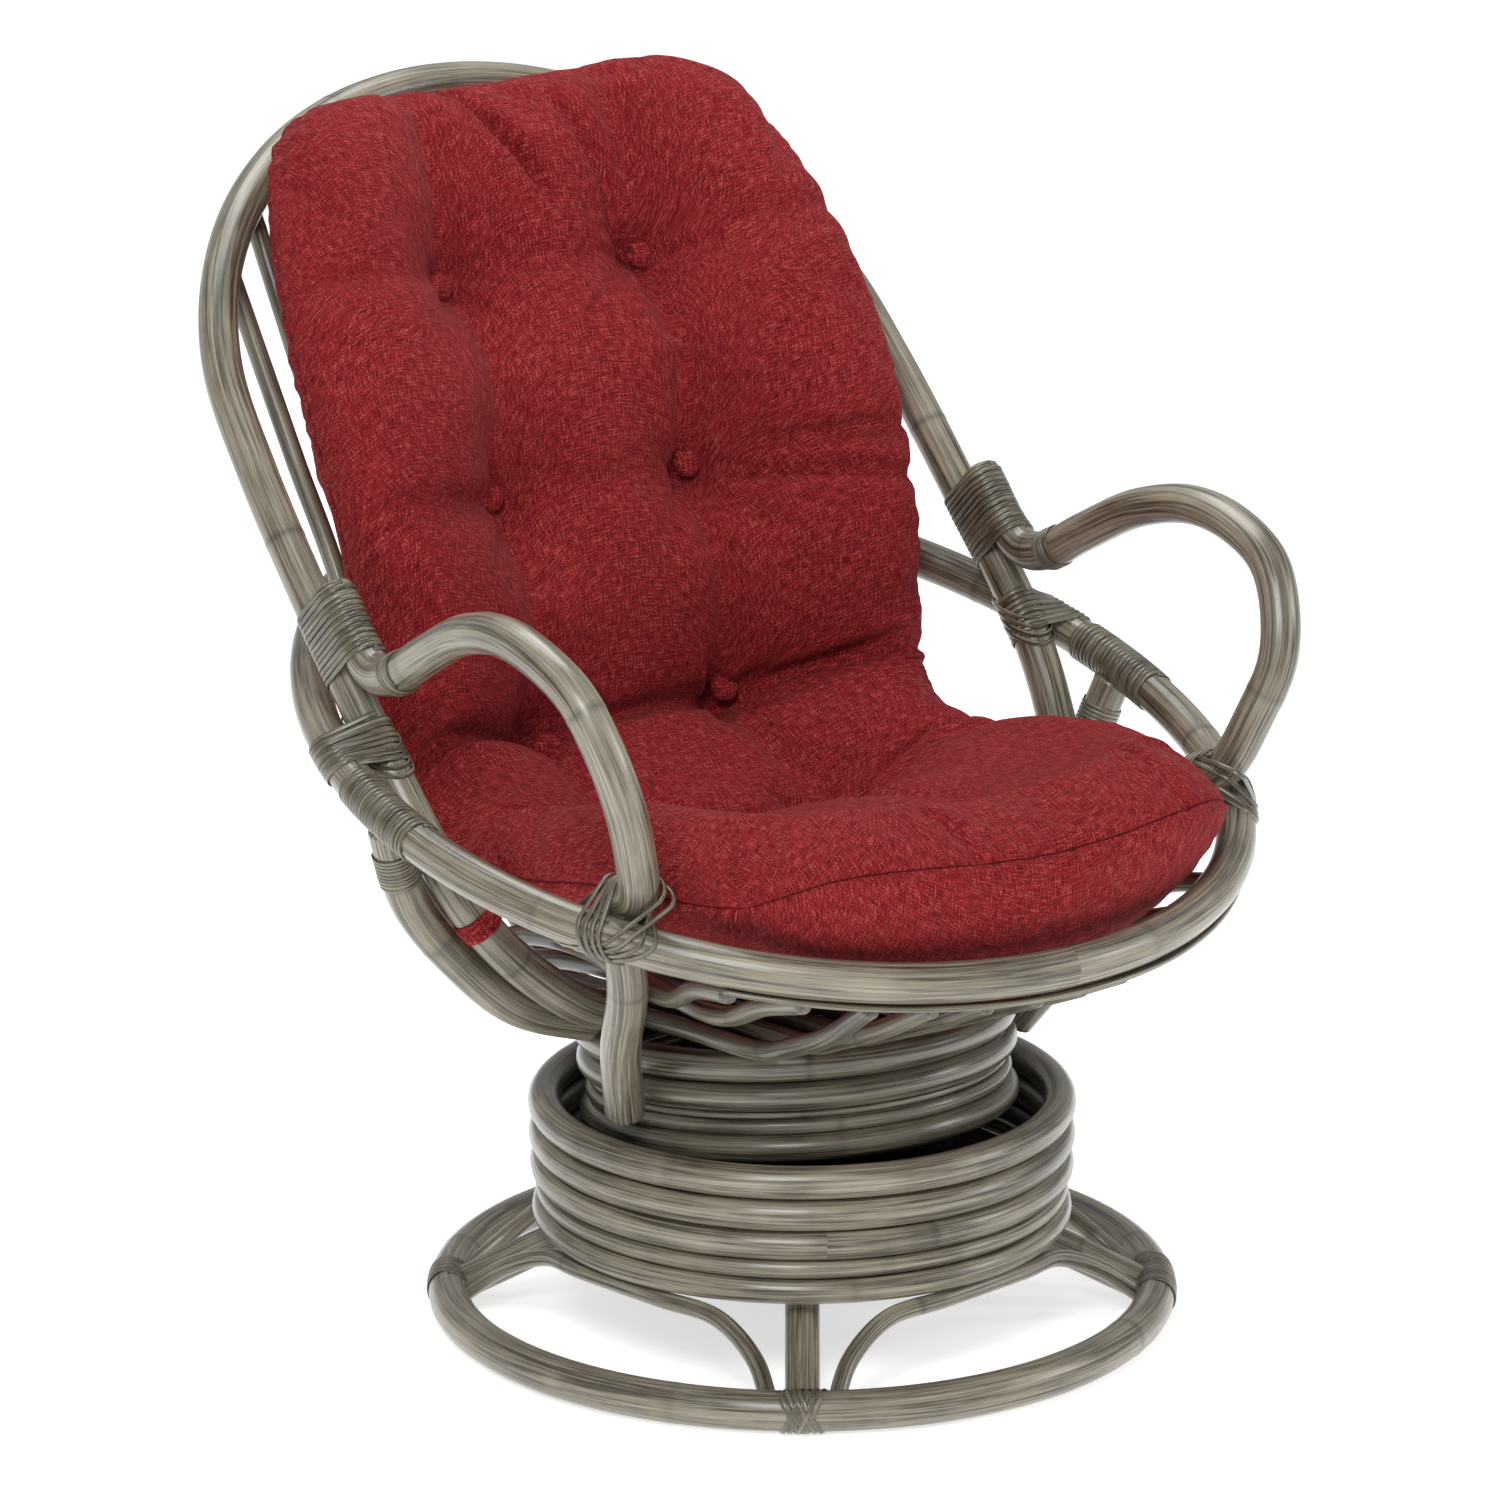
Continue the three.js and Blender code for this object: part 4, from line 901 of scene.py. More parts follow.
# Each winding as its turns, its pitch and how far it stands off the poles
binding = {
    "legAndArm": {"turns": 13, "pitch": 0.0052, "seed": 5},
    "collar": {"turns": 3.4, "pitch": 0.005, "seed": 7},
    "legAndHoop": {"turns": 8, "pitch": 0.0052, "slack": 0.0008, "seed": 9},
    "slanted": {"turns": 4, "pitch": 0.0052, "slack": 0.0019, "seed": 11},
    "rim": {"turns": 20, "pitch": 0.0049, "seed": 15},
    "bow": {"turns": 9, "pitch": 0.0036, "seed": 17, "width": 0.0034},
    "lashingUnder": {"turns": 4, "pitch": 0.0056, "slack": 0.0005, "seed": 21},
    "lashingOver": {"turns": 4, "pitch": 0.0056, "slack": 0.0019, "seed": 23},
    "armLap": 24,
    "collarPlace": 26,
    "armReach": 0.099,
    "hoopReach": 0.004,
    "slant": Vector((0, -0.9, 0.2)),
    "rimShare": 0.2536,
    "rimStep": 0.004,
    "bowShare": 0.86,
}


# Each winding is its kind, the poles it holds, where it starts, its way along them, and its first side
def bound(node, sign, *windings):
    bm = bmesh.new()
    for kind, *way in windings:
        facts = binding[kind]
        wind(bm, *way, **dict(facts, seed=facts["seed"] + sign))
    bm.transform(seatPlace)
    return replacing(f"{node}_{sides[sign]}", bm, peel, "seat", "peel")


def makeHoopBindings(sign):
    leg = ([p for p in backLevel if p.x * sign > 0], back["radius"])
    rim = (hoopLevel, hoop["radius"])
    route = armLevel[sign]
    lap = (route[:binding["armLap"]], arm["radius"])
    centre = backPlace(sign * back["legHalfWidth"], binding["armReach"])
    cross = backPlace(sign * back["legHalfWidth"], binding["hoopReach"])
    k = binding["collarPlace"]
    return bound(
        "hoop_binding", sign,
        ("legAndArm", [leg, lap], centre, -backUp, backFront),
        ("collar", [(route, arm["radius"])], route[k], ahead(route, k), up),
        ("legAndHoop", [leg, rim], cross, -backUp, backFront),
        ("slanted", [leg, rim], cross, (backUp + binding["slant"]).normalized(), Vector((sign, 0, 0))),
    )


def makeRimBinding(sign):
    spots = [hoopSpot(binding["rimShare"] + k * binding["rimStep"]) for k in (-1, 0, 1)]
    if sign < 0:
        spots = flipped(spots)
    return bound("rim_binding", sign, ("rim", [(hoopLevel, hoop["radius"])], spots[1], ahead(spots, 1), up))


def makeBowBinding(sign):
    route = bowLevel[sign]
    k = int(len(route) * binding["bowShare"])
    return bound("bow_binding", sign, ("bow", [(route, bow["radius"])], route[k], ahead(route, k + 1), up))


def nearest(first, second):
    tree = treeOf(second)
    pairs = []
    for k, p in enumerate(first):
        _, index, gap = tree.find(p)
        pairs.append((gap, k, index))
    return min(pairs)[1:]


def makeArmLashing(sign):
    front = [p for p in hoopLevel if p.x * sign > 0.1 and p.y < 0]
    low = [p for p in armLevel[sign] if p.z < 0.5 and p.y < -0.1]
    i, j = nearest(low, front)
    a, b = ahead(low, i), ahead(front, j)
    if a.dot(b) < 0:
        b = -b
    middle = low[i].lerp(front[j], 0.5)
    apart = (low[i] - front[j]).normalized()
    held = [(low, arm["radius"]), (front, hoop["radius"])]
    return bound(
        "arm_lashing", sign,
        ("lashingUnder", held, middle, a - b, apart),
        ("lashingOver", held, middle, a + b, apart),
    )


for sign in sides:
    makeHoopBindings(sign)
    makeRimBinding(sign)
    makeBowBinding(sign)
    makeArmLashing(sign)

# Foot bindings: crossed strands over the front and rear feet, plain turns over the side ones
footBinding = {
    "front": {"turns": 4, "pitch": 0.005},
    "right": {"turns": 15, "pitch": 0.0046},
    "rear": {"turns": 4, "pitch": 0.005},
    "left": {"turns": 8, "pitch": 0.0048},
    "crossed": ("front", "rear"),
    "lean": 0.5,
    "slack": 0.0001,
    "lowest": 0.0001,
}


def makeFootBinding(k, quarter):
    bm = bmesh.new()
    held = [(ringRoute(base["floorRadius"], base["floorHeight"]), base["floorPole"])]
    spot = Vector((0, -base["floorRadius"], base["floorHeight"]))
    facts = footBinding[quarter]
    if quarter in footBinding["crossed"]:
        for lean, slack in ((footBinding["lean"], 0.0), (-footBinding["lean"], footBinding["slack"])):
            wind(bm, held, spot, Vector((1, 0, lean)), up, slack=slack, seed=34 + k, **facts)
    else:
        wind(bm, held, spot, Vector((1, 0, 0)), up, slack=footBinding["slack"], seed=30 + k, **facts)
    bm.transform(basePlace @ Matrix.Rotation(tau * k / 4, 4, "Z"))
    for v in bm.verts:
        v.co.z = max(v.co.z, footBinding["lowest"])  # flat where the chair stands
    return replacing(f"foot_binding_{quarter}", bm, peel, "base", "peel")


for k, quarter in enumerate(quarters):
    makeFootBinding(k, quarter)
print("bindings made")

# Springs: round wire in the place of the faceted coils
spring = {
    "coil": 0.015,
    "wire": 0.0022,
    "curls": 4,
    "steps": 28,
    "stock": dict(poleStock, sides=10, knuckleRise=0, wobble=0, endRounding=0.0004),
}


def makeSpring(sx, sy):
    name = f"spring_{'front' if sy < 0 else 'rear'}_{'left' if sx < 0 else 'right'}"
    low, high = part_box(name)
    centre = Vector(((low.x + high.x) / 2, (low.y + high.y) / 2, 0))
    bottom, top = low.z + spring["wire"], high.z - spring["wire"]
    steps = spring["curls"] * spring["steps"]
    route = []
    for k in range(steps + 1):
        turn = tau * spring["curls"] * k / steps
        around = Vector((spring["coil"] * cos(turn), spring["coil"] * sin(turn), 0))
        route.append(centre + around + up * (bottom + (top - bottom) * k / steps))
    bm = bmesh.new()
    sweepPole(bm, route, spring["wire"], 1, stock=spring["stock"])
    coil = replacing(name, bm, steel, None, "steel")
    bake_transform(coil)
    return coil


for sx in (-1, 1):
    for sy in (-1, 1):
        makeSpring(sx, sy)
for name in ("swivel_base_plate", "turntable", "rocker_plate", "drum_board", "seat_board"):
    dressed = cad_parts[name].data.materials
    dressed.clear()
    dressed.append(board if "board" in name else steel)
print("mechanism dressed")

# Cushion
cushion = {
    "halfWidth": 0.290,
    "under": 0.056,
    "overHoop": 0.0925,
    "crown": 0.074,
    "edgeRounding": 0.072,
    "underRounding": 0.130,
    "sideRise": 0.094,
    "sideRisePower": 1.7,
    "cornerPowers": (5, 6),
    "lean": 0.010,
    "leanFrom": 0.66,
    "leanHurry": 1.6,
    "tuftHalfSpan": 0.097,
    "tuftRows": (0.366, 0.552, 0.715, 0.862),
    "frontShares": ((0.975, 1), (0.778, 0.442), (0.518, 0.212), (0.256, 0.117), (-0.004, 0)),
    "rearShares": ((0.234, 0.008), (0.438, 0.075), (0.603, 0.222)),
    "backShares": ((-0.4, 1.52), (0.067, 1.69), (0.633, 1.13), (0.928, 0.71)),
    "overTop": 0.024,
    "pushLimit": 0.0045,
    "widths": (0.97, 0.96, 0.94, 0.925, 0.92, 0.92, 0.93, 0.955, 0.985, 1.005, 1.0, 0.97, 0.93),
    "rises": (0.5, 0.65, 0.78, 0.8, 0.82, 0.82, 0.84, 0.98, 1.04, 0.9, 0.8, 0.7, 0.55),
    "cells": (76, 162),
    "bunching": 3,
    "pressure": 4.2,
    "growth": 0.04,
    "cap": 0.018,
    "startThickness": 0.97,
    "fillFrames": 20,
    "tuftDepth": 0.045,
    "tuftFlat": 0.010,
    "tuftSpread": 0.034,
    "valleyDepth": 0.014,
    "valleySpread": 0.018,
    "crossValley": {"spread": 0.8, "inner": 0.6, "outer": 0.4},
    "foldRow": 0.552,
    "foldDepth": 0.016,
    "tuftHold": (0.45, 0.55),
    "underHold": 0.25,
    "rimHold": 0.8,
    "rimDepth": 0.004,
    "seamDepth": 0.0030,
    "seamWidth": 0.0042,
    "paintedSeamShadeReach": 0.012,
    "gatherDepth": 0.0016,
    "gatherReach": 0.030,
    "gatherPitch": 0.034,
    "creaseDepth": 0.0046,
    "creaseReach": 0.045,
    "droop": 0.050,
    "droopFrom": 0.236,
    "droopShares": (0.52, 0.085),
    "droopPower": 1.5,
    "droopWiden": 0.020,
}
# Pleats as (from, to, depth, half width), each end by its place across and its share of the length
pleats = (
    ((-0.050, 0.999), (0.004, 0.905), 0.024, 0.007),
    ((0.040, 0.965), (0.092, 0.868), 0.013, 0.008),
    ((0.100, 0.712), (0.275, 0.690), 0.017, 0.006),
    ((0.150, 0.722), (0.280, 0.716), 0.011, 0.005),
    ((-0.103, 0.712), (-0.240, 0.722), 0.007, 0.010),
    ((0.105, 0.548), (0.255, 0.572), 0.010, 0.009),
    ((0.120, 0.535), (0.262, 0.520), 0.009, 0.010),
    ((0.100, 0.362), (0.215, 0.330), 0.008, 0.010),
    ((-0.105, 0.548), (-0.250, 0.530), 0.009, 0.010),
    ((0.070, 0.340), (0.058, 0.150), 0.007, 0.009),
    ((-0.110, 0.340), (-0.125, 0.120), 0.007, 0.010),
    ((0.160, 0.090), (0.150, 0.002), 0.014, 0.006),
    ((-0.075, 0.075), (-0.070, 0.002), 0.014, 0.006),
)
pleatFade = {"from": -0.1, "to": 1.15, "start": 0.12, "run": 0.8, "power": 0.6}
crease = {"broad": 5, "fine": 9, "fineShare": 0.5, "rowStep": 1.7, "sideStep": 2, "clear": 0.012}
gather = {"slant": 1.37, "stray": 3, "strayRate": 23, "least": 0.6, "swing": 0.4, "swingRate": 17}
clothKeys = ("aside", "share", "depth", "upper")  # kept on each point of the cloth
cushionFoot = ribSeat + rib["flat"] + cushion["under"] + touch
hoopFront = hoopAt(0, False)
hoopRear = hoopAt(0, True)
archTop = backPlace(0, back["archCentre"] + back["halfWidth"])


def cushionRoute():
    rise = hoopFront.z + cushion["overHoop"] - cushionFoot
    points = [Vector((0, y * hoopFront.y, cushionFoot + z * rise)) for y, z in cushion["frontShares"]]
    rise = hoopRear.z - ribSeat
    points += [Vector((0, y * hoopRear.y, cushionFoot + z * rise)) for y, z in cushion["rearShares"]]
    for share, inFront in cushion["backShares"]:
        points.append(hoopRear.lerp(archTop, share) - Vector((0, inFront * cushion["under"], 0)))
    points[-1] += (points[-1] - points[-2]).normalized() * cushion["overTop"]
    return smoothRoute(points, 0.004)


cushionLine = cushionRoute()
cushionTangents = tangents(cushionLine)
cushionLength = reaches(cushionLine)[-1]


def shareAt(shares, t):
    place = t * (len(shares) - 1)
    low = min(int(place), len(shares) - 2)
    return shares[low] + (shares[low + 1] - shares[low]) * (place - low)


def lineAt(t):
    place = clamped(t) * (len(cushionLine) - 1)
    low = min(int(place), len(cushionLine) - 2)
    point = cushionLine[low].lerp(cushionLine[low + 1], place - low)
    tangent = cushionTangents[low].lerp(cushionTangents[low + 1], place - low)
    return point, Vector((0, -tangent.z, tangent.y)).normalized()


def edgeShare(depth, rounding):
    return sqrt(1 - (1 - min(depth / rounding, 1)) ** 2)


def dentAt(x, t):
    dent = 0
    for row in cushion["tuftRows"]:
        along = (t - row) * cushionLength
        aside = abs(x) - cushion["tuftHalfSpan"]
        beyond = max(0, hypot(along, aside) - cushion["tuftFlat"])
        dent = max(dent, exp(-beyond / cushion["tuftSpread"]))
    return dent


def valleyAt(x, t):
    rows = cushion["tuftRows"]
    cross = cushion["crossValley"]
    depth = 0
    aside = (abs(x) - cushion["tuftHalfSpan"]) / cushion["valleySpread"]
    if rows[0] < t < 1:
        depth = exp(-aside * aside)
    for row in rows:
        along = (t - row) * cushionLength / (cross["spread"] * cushion["valleySpread"])
        reach = cross["inner"] if abs(x) < cushion["tuftHalfSpan"] else cross["outer"]
        depth = max(depth, reach * exp(-along * along))
    return depth


def foldAt(t):
    along = (t - cushion["foldRow"]) * cushionLength / cushion["valleySpread"]
    return cushion["foldDepth"] * exp(-along * along)


# The back leans a little to the right, and the seat's left edge hangs over the outer rib
def leanAt(t):
    share = clamped((t - cushion["leanFrom"]) / (1 - cushion["leanFrom"]))
    return cushion["lean"] * sin(pi / 2 * min(1, cushion["leanHurry"] * share))


def droopAt(x, t):
    middle, reach = cushion["droopShares"]
    near = exp(-((t - middle) / reach) ** 2)
    out = clamped((-x - cushion["droopFrom"]) / (cushion["halfWidth"] - cushion["droopFrom"]))
    return near, near * out ** cushion["droopPower"]


def cushionSpot(u, w, upper):
    reach = max(abs(u), abs(w))
    power = cushion["cornerPowers"][w > 0]
    corner = reach / (abs(u) ** power + abs(w) ** power) ** (1 / power) if reach else 1
    t = 0.5 + 0.5 * w * corner
    x = u * corner * cushion["halfWidth"] * shareAt(cushion["widths"], t)
    beside, end = cushion["halfWidth"], cushion["underRounding"]
    if upper:
        beside = end = cushion["edgeRounding"]
    full = edgeShare(cushion["halfWidth"] * (1 - abs(u)), beside)
    full *= edgeShare(cushionLength / 2 * (1 - abs(w)), end)
    half = -cushion["under"]
    if upper:
        half = cushion["crown"] * cushion["startThickness"]
        half -= cushion["tuftDepth"] * dentAt(x, t)
        half -= cushion["valleyDepth"] * valleyAt(x, t) + foldAt(t)
    else:
        half *= cushion["startThickness"]
    rise = cushion["sideRise"] * shareAt(cushion["rises"], t) * abs(u * corner) ** cushion["sideRisePower"]
    point, normal = lineAt(t)
    spot = point + normal * (full * half + rise)
    near, out = droopAt(x - cushion["droopWiden"], t)
    spot.z -= cushion["droop"] * out
    spot.x = x + leanAt(t) + min(0, u) * near * cushion["droopWiden"]
    depth = min(cushion["halfWidth"] * (1 - abs(u)), cushionLength / 2 * (1 - abs(w)))
    return spot, x, t, depth


# Rows bunch up at the sewn edge, where the cloth turns
def edgeRow(v):
    n = cushion["bunching"]
    return v * (n + 1 - abs(v) ** n) / n


# Places on the uncut cloth: distances along each row and column from the sheet's middle
def layFlat(sheet, across, along):
    rows = [reaches([sheet[(i, j)].co for i in range(across + 1)]) for j in range(along + 1)]
    columns = [reaches([sheet[(i, j)].co for j in range(along + 1)]) for i in range(across + 1)]
    spots = {}
    for (i, j), v in sheet.items():
        spots[v] = (rows[j][i] - rows[j][across // 2], columns[i][j] - columns[i][along // 2])
    return spots


def makeCushion():
    bm = bmesh.new()
    pin = bm.verts.layers.deform.verify()
    uv = bm.loops.layers.uv.new("run")
    keep = {key: bm.verts.layers.float.new(key) for key in clothKeys}
    across, along = cushion["cells"]
    bmesh.ops.create_grid(bm, x_segments=across, y_segments=along, size=1)
    twin = bmesh.ops.duplicate(bm, geom=bm.verts[:] + bm.edges[:] + bm.faces[:])["geom"]
    under = {g for g in twin if isinstance(g, bmesh.types.BMVert)}
    sheets = ({}, {})
    least, span = cushion["tuftHold"]
    for v in bm.verts:
        upper = v not in under
        sheets[upper][(round((v.co.x + 1) / 2 * across), round((v.co.y + 1) / 2 * along))] = v
        v.co, x, t, depth = cushionSpot(edgeRow(v.co.x), edgeRow(v.co.y), upper)
        for key, value in zip(clothKeys, (x, t, depth, upper)):
            v[keep[key]] = value
        hold = max(0, dentAt(x, t) - least) / span
        if not upper:
            hold = max(hold, cushion["underHold"])
        if depth < cushion["rimDepth"]:
            hold = cushion["rimHold"]
        v[pin][0] = hold
    spots = {}
    for sheet in sheets:
        spots.update(layFlat(sheet, across, along))
    for face in bm.faces:
        for loop in face.loops:
            loop[uv].uv = spots[loop.vert]
    bmesh.ops.remove_doubles(bm, verts=[v for v in bm.verts if v.is_boundary], dist=0.0002)
    bm.transform(seatPlace)
    piece = finished("cushionPad", bm, cloth, "seat", "cloth", "cushion")
    piece.vertex_groups.new(name="sewn")
    return piece


pad = makeCushion()
print("cushion cut", len(pad.data.vertices), "points")

# Cloth settings while the pad fills
filling = {
    "quality": 6,
    "mass": 0.3,
    "tension_stiffness": 12,
    "compression_stiffness": 12,
    "shear_stiffness": 4,
    "bending_stiffness": 0.4,
    "use_pressure": True,
    "uniform_pressure_force": cushion["pressure"],
    "shrink_min": -cushion["growth"],
    "vertex_group_mass": "sewn",
    "pin_stiffness": 1,
}


def inflate(piece):
    mesh = piece.data
    start = [v.co.copy() for v in mesh.vertices]
    press = piece.modifiers.new("fill", "CLOTH")
    for key, value in filling.items():
        setattr(press.settings, key, value)
    press.settings.effector_weights.gravity = 0
    scene = bpy.context.scene
    for k in range(1, cushion["fillFrames"] + 1):
        scene.frame_set(k)
    shaped = piece.evaluated_get(bpy.context.evaluated_depsgraph_get())
    moved = [v.co.copy() for v in shaped.data.vertices]
    scene.frame_set(1)
    piece.modifiers.remove(press)
    for v, old, new in zip(mesh.vertices, start, moved):
        step = new - old
        if step.length > cushion["cap"]:
            step *= cushion["cap"] / step.length
        v.co = old + step


inflate(pad)
print("cushion filled")


def ease(bm, verts, factor):
    bmesh.ops.smooth_vert(bm, verts=verts, factor=factor, use_axis_x=True, use_axis_y=True, use_axis_z=True)


# Pushes the cloth straight out of the poles, a little at a time, and eases what lies round it
def keepClear(piece, margin=0.0015, rounds=7):
    points = [(p, radius) for route, radius in clearOf for p in route]
    tree = treeOf([p for p, _ in points])
    bm = bmesh.new()
    bm.from_mesh(piece.data)
    pushed = set()
    for step in range(rounds):
        for v in bm.verts:
            for p, k, gap in tree.find_n(v.co, 3):
                need = points[k][1] + margin
                if 0 < gap < need:
                    v.co += (v.co - p) * (min(need - gap, cushion["pushLimit"]) / gap)
                    pushed.add(v)
        if step < rounds - 1:
            ease(bm, list({w for v in pushed for e in v.link_edges for w in e.verts}), 0.5)
    inside = 0
    for v in bm.verts:
        _, k, gap = tree.find(v.co)
        inside += gap < points[k][1]
    bm.to_mesh(piece.data)
    bm.free()
    return len(pushed), inside


def smoothOnce(piece):
    bm = bmesh.new()
    bm.from_mesh(piece.data)
    ease(bm, bm.verts, 0.35)
    bm.to_mesh(piece.data)
    bm.free()


# Finer mesh, so that the pleats and the seam come out sharp
def refine(piece):
    finer = piece.modifiers.new("finer", "SUBSURF")
    finer.levels = 1
    finer.render_levels = 1
    shaped = piece.evaluated_get(bpy.context.evaluated_depsgraph_get())
    mesh = bpy.data.meshes.new_from_object(shaped)
    piece.modifiers.remove(finer)
    piece.data = mesh


# Depth of the pleats at a place on the cloth
def pleatAt(x, t):
    depth = 0
    for (x1, t1), (x2, t2), deep, half in pleats:
        a = Vector((x1, t1 * cushionLength))
        b = Vector((x2, t2 * cushionLength))
        p = Vector((x, t * cushionLength))
        place = (p - a).dot(b - a) / (b - a).length_squared
        if not pleatFade["from"] < place < pleatFade["to"]:
            continue
        gap = (p - a.lerp(b, place)).length
        fade = sin(pi * clamped(pleatFade["start"] + pleatFade["run"] * place)) ** pleatFade["power"]
        depth = max(depth, deep * fade * exp(-(gap / half) ** 2))
    return depth


def creaseAt(x, t):
    depth = 0
    for k, row in enumerate(cushion["tuftRows"]):
        along = (t - row) * cushionLength
        aside = abs(x) - cushion["tuftHalfSpan"]
        gap = hypot(along, aside)
        if cushion["tuftFlat"] < gap < 3 * cushion["creaseReach"]:
            turn = atan2(along, aside * (1 if x > 0 else -1))
            wave = cos(crease["broad"] * turn + crease["rowStep"] * k + (crease["sideStep"] if x > 0 else 0))
            wave += crease["fineShare"] * cos(crease["fine"] * turn + k)
            near = min(1, (gap - cushion["tuftFlat"]) / crease["clear"])
            depth += wave * near * exp(-gap / cushion["creaseReach"])
    return cushion["creaseDepth"] * depth


# Distance over the cloth from the seam, which is more than its distance in from the edge
def seamGap(depth, upper):
    height = cushion["crown"] if upper else cushion["under"]
    rounding = cushion["edgeRounding"] if upper else cushion["underRounding"]
    return hypot(depth, height * edgeShare(max(depth, 0), rounding))


# Pleats, creases round the tufts, gathers along the sewn seam, and a mask of painted shade along the seam's
# groove
def sew(piece):
    mesh = piece.data
    # The seam attribute is a mask of painted shade, so that the cloth colour darkens towards the seam's
    # groove
    mesh.attributes.new("seam", "FLOAT", "POINT")
    paintedSeamShade = mesh.attributes["seam"].data
    kept = [mesh.attributes[key].data for key in clothKeys]
    normals = [v.normal.copy() for v in mesh.vertices]
    for v in mesh.vertices:
        x, t, depth, upper = [layer[v.index].value for layer in kept]
        gap = seamGap(depth, upper)
        seam = exp(-(gap / cushion["seamWidth"]) ** 2)
        # Painted shade mask: full at the seam, fading out over a short distance from it
        paintedSeamShade[v.index].value = max(0, 1 - gap / cushion["paintedSeamShadeReach"])
        around = x + gather["slant"] * t * cushionLength
        stray = gather["stray"] * sin(gather["strayRate"] * around)
        pull = sin(tau * around / cushion["gatherPitch"] + stray)
        pull *= gather["least"] + gather["swing"] * sin(gather["swingRate"] * around + 1)
        drop = cushion["seamDepth"] * seam
        drop += cushion["gatherDepth"] * pull * exp(-depth / cushion["gatherReach"]) * (1 - seam)
        if upper:
            drop += pleatAt(x, t) + creaseAt(x, t)
        v.co -= normals[v.index] * drop


smoothOnce(pad)
refine(pad)
sew(pad)
pushedCount, insideCount = keepClear(pad)
print("cushion pushed clear at", pushedCount, "points, still inside a pole", insideCount)

# Buttons on the tufts
button = {
    "radius": 0.0130,
    "height": 0.0075,
    "lift": 0.0055,
    "overLine": 0.04,
    "steps": 28,
    "profile": ((0, 1), (0.35, 0.96), (0.68, 0.82), (0.9, 0.55), (1, 0.15), (0.97, -0.25), (0.82, -0.5)),
}


def makeButtons():
    bm = bmesh.new()
    uv = bm.loops.layers.uv.new("run")
    tree = treeOf([v.co for v in pad.data.vertices])
    profile = [(button["radius"] * r, 0, button["height"] * z) for r, z in button["profile"]]
    for row in cushion["tuftRows"]:
        for sign in (-1, 1):
            point, normal = lineAt(row)
            guess = point + normal * button["overLine"]
            guess.x = sign * cushion["tuftHalfSpan"] + leanAt(row)
            place, _, _ = tree.find(seatPlace @ guess)
            out = (seatTurn @ normal).normalized()
            verts = [bm.verts.new(spot) for spot in profile]
            edges = [bm.edges.new(pair) for pair in zip(verts, verts[1:])]
            bmesh.ops.spin(
                bm, geom=verts + edges, cent=(0, 0, 0), axis=(0, 0, 1), angle=tau,
                steps=button["steps"], use_merge=True,
            )
            fresh = [v for v in bm.verts if v.co.length < 2 * button["radius"]]
            turn = up.rotation_difference(out).to_matrix().to_4x4()
            lift = Matrix.Translation(place + out * button["lift"])
            bmesh.ops.transform(bm, matrix=lift @ turn, verts=fresh)
    bmesh.ops.remove_doubles(bm, verts=bm.verts, dist=0.00001)
    for face in bm.faces:
        for loop in face.loops:
            loop[uv].uv = (loop.vert.co.x, loop.vert.co.z)
    return finished("tuftButtons", bm, cloth, "seat", "cloth")


makeButtons()
print("buttons made")

# Strap of the cushion's cloth round the back hoop's left leg, with a tail up to the cushion
strap = {
    "width": 0.019,
    "thickness": 0.0022,
    "height": 0.385,
    "slack": 0.0008,
    "turns": 1.02,
    "pitch": 0.0015,
    "tailRise": 0.05,
    "tailSag": 0.012,
    "tailSteps": 12,
}


def makeStrap():
    leg = [p for p in backLevel if p.x < -0.1 and p.z < 0.6]
    k = min(range(1, len(leg) - 1), key=lambda k: abs((seatPlace @ leg[k]).z - strap["height"]))
    way = ahead(leg, k)
    bm = bmesh.new()
    slack, width = strap["slack"], strap["width"]
    wind(bm, [(leg, back["radius"])], leg[k], way, up, strap["turns"], strap["pitch"], slack, 51, width)
    inward = (-up.cross(way)).normalized()
    if inward.x < 0:
        inward = -inward
    start = leg[k] + inward * (back["radius"] + slack)
    level = seatPlace.inverted()
    end, _, gap = treeOf([level @ v.co for v in pad.data.vertices]).find(start + up * strap["tailRise"])
    out = inward.cross(way).normalized()
    frames = []
    for j in range(strap["tailSteps"] + 1):
        share = j / strap["tailSteps"]
        point = start.lerp(end, share) - up * (strap["tailSag"] * sin(pi * share))
        frames.append(ringFrame(point, out, way, strap["thickness"] / 2, width, share * gap))
    sweep(bm, strip["section"], frames, around=width)
    print("strap tail", round(gap, 3), "m")
    bm.transform(seatPlace)
    return finished("cushionStrap", bm, cloth, "seat", "cloth")


makeStrap()

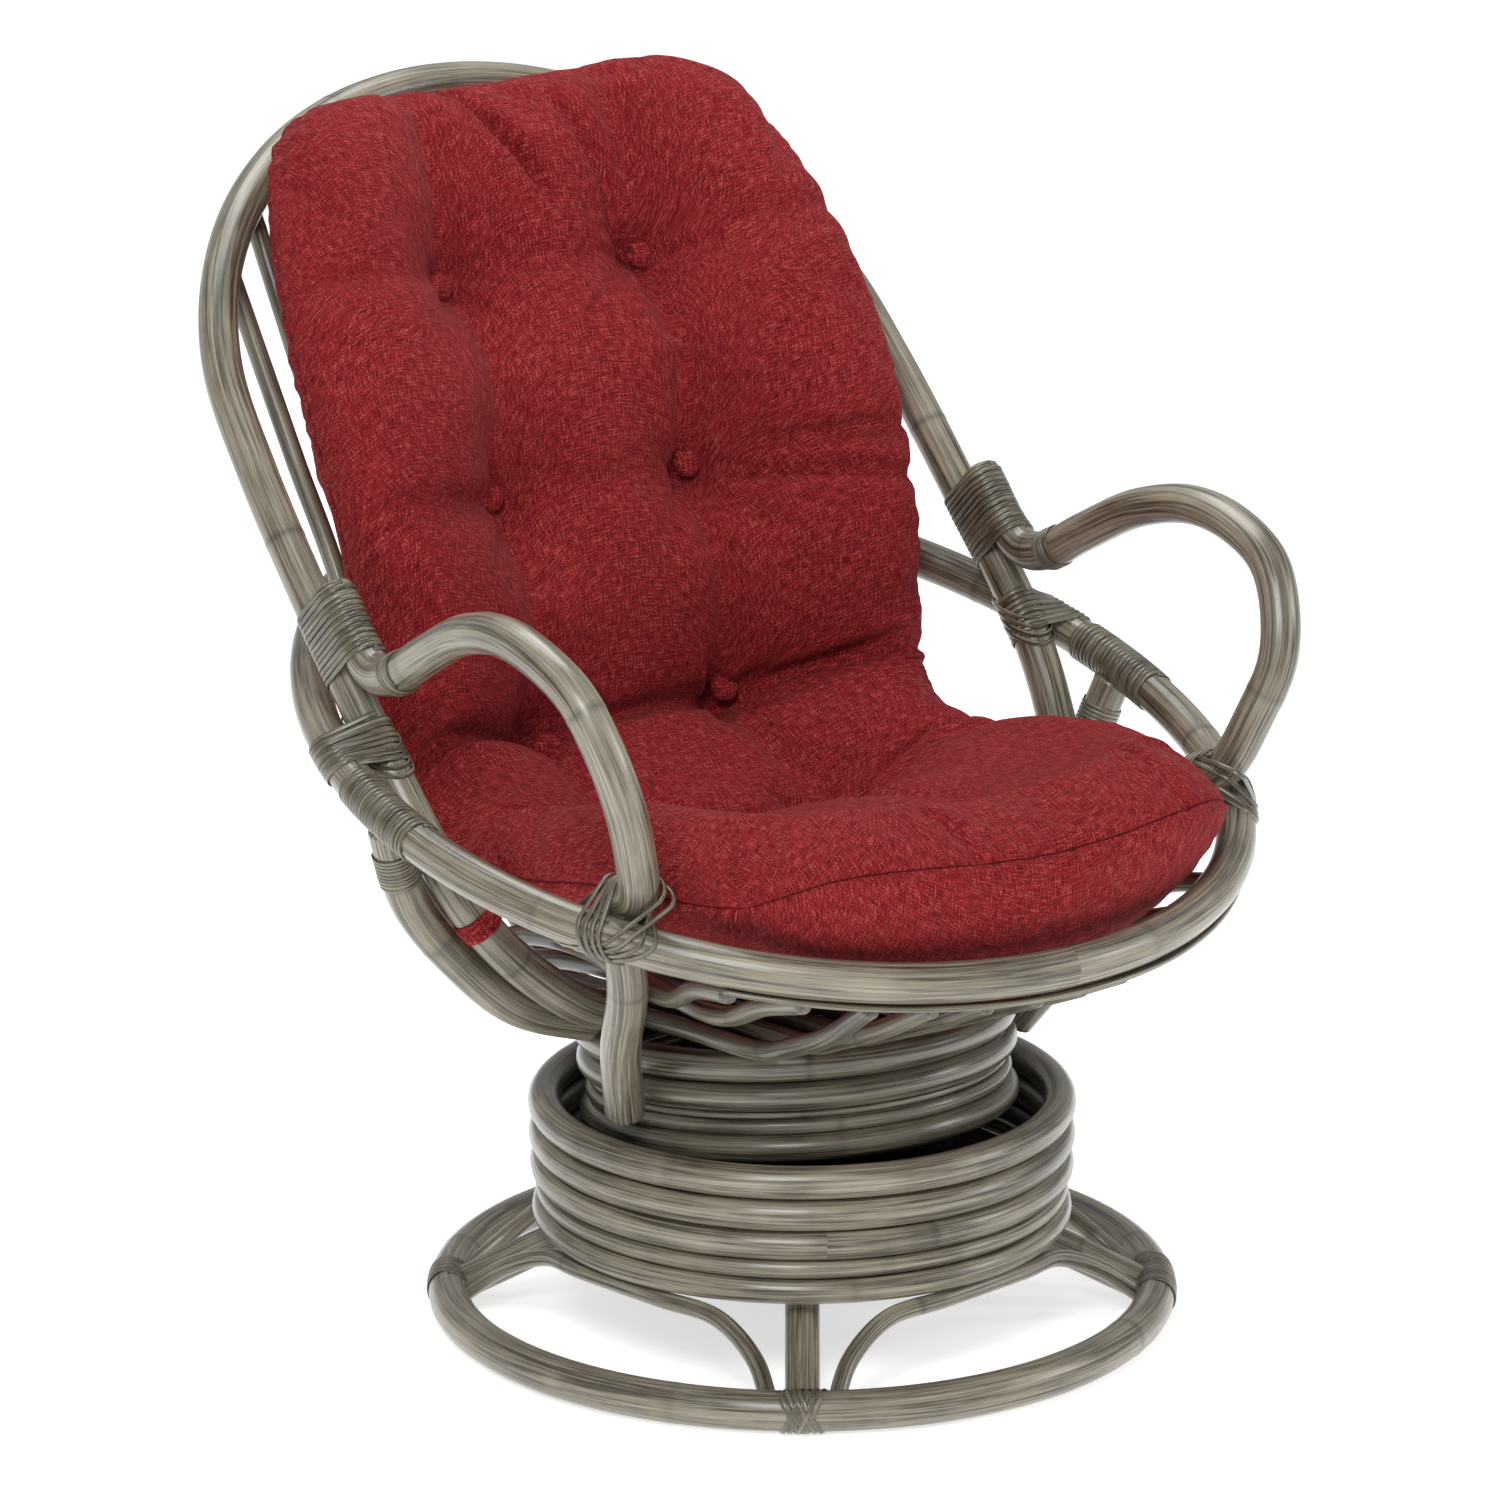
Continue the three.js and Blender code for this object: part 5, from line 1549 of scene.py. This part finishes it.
# Floor, light and camera
studio = {
    "lens": 192,
    "eye": (-3.7718, -5.1589 + chair["axisY"], 2.3746),
    "forward": (0.5608, 0.7782, -0.2828),
    "world": 0.42,
    "paper": ((0.9, 0.9, 0.9), (0.93, 0.93, 0.93)),
    "paperStops": (0.3, 0.7),
    "paperGlow": 0.62,
    "lights": (
        ("key", (-2.2, -2.2, 2.9), 1.3, 68),
        ("fill", (2.6, -2.4, 1.7), 1.0, 26),
        ("top", (0.2, 0.9, 3.0), 1.6, 42),
    ),
}


def makeFloor():
    bm = bmesh.new()
    bmesh.ops.create_grid(bm, x_segments=2, y_segments=2, size=30)
    mesh = bpy.data.meshes.new("floor")
    bm.to_mesh(mesh)
    bm.free()
    paper = shader("paleFloor")
    paper.finish({
        "Base Color": paper.ramp(paper.noise(paper.spot(), 3), studio["paperStops"], studio["paper"]),
        "Roughness": 0.9,
        "Emission Color": (1, 1, 1, 1),
        "Emission Strength": studio["paperGlow"],
    })
    mesh.materials.append(paper.material)
    floor = bpy.data.objects.new("floor", mesh)
    bpy.context.scene.collection.objects.link(floor)


# Turns a lamp or a camera along its line of sight
def hung(data, place, sight):
    holder = bpy.data.objects.new(data.name, data)
    holder.location = place
    holder.rotation_euler = Vector(sight).to_track_quat("-Z", "Y").to_euler()
    bpy.context.scene.collection.objects.link(holder)
    return holder


def makeStudio():
    scene = bpy.context.scene
    scene.view_settings.view_transform = "Standard"
    world = bpy.data.worlds.new("studio")
    world.use_nodes = True
    backdrop = world.node_tree.nodes["Background"].inputs
    backdrop["Color"].default_value = (1, 1, 1, 1)
    backdrop["Strength"].default_value = studio["world"]
    scene.world = world
    makeFloor()
    for name, place, size, power in studio["lights"]:
        lamp = bpy.data.lights.new(name, "AREA")
        lamp.size = size
        lamp.energy = power
        hung(lamp, place, Vector((0, 0, 0.5)) - Vector(place))
    eye = bpy.data.cameras.new("eye")
    eye.lens = studio["lens"]
    eye.sensor_width = 36
    eye.clip_end = 100
    scene.camera = hung(eye, studio["eye"], studio["forward"])


makeStudio()
print("scene done")
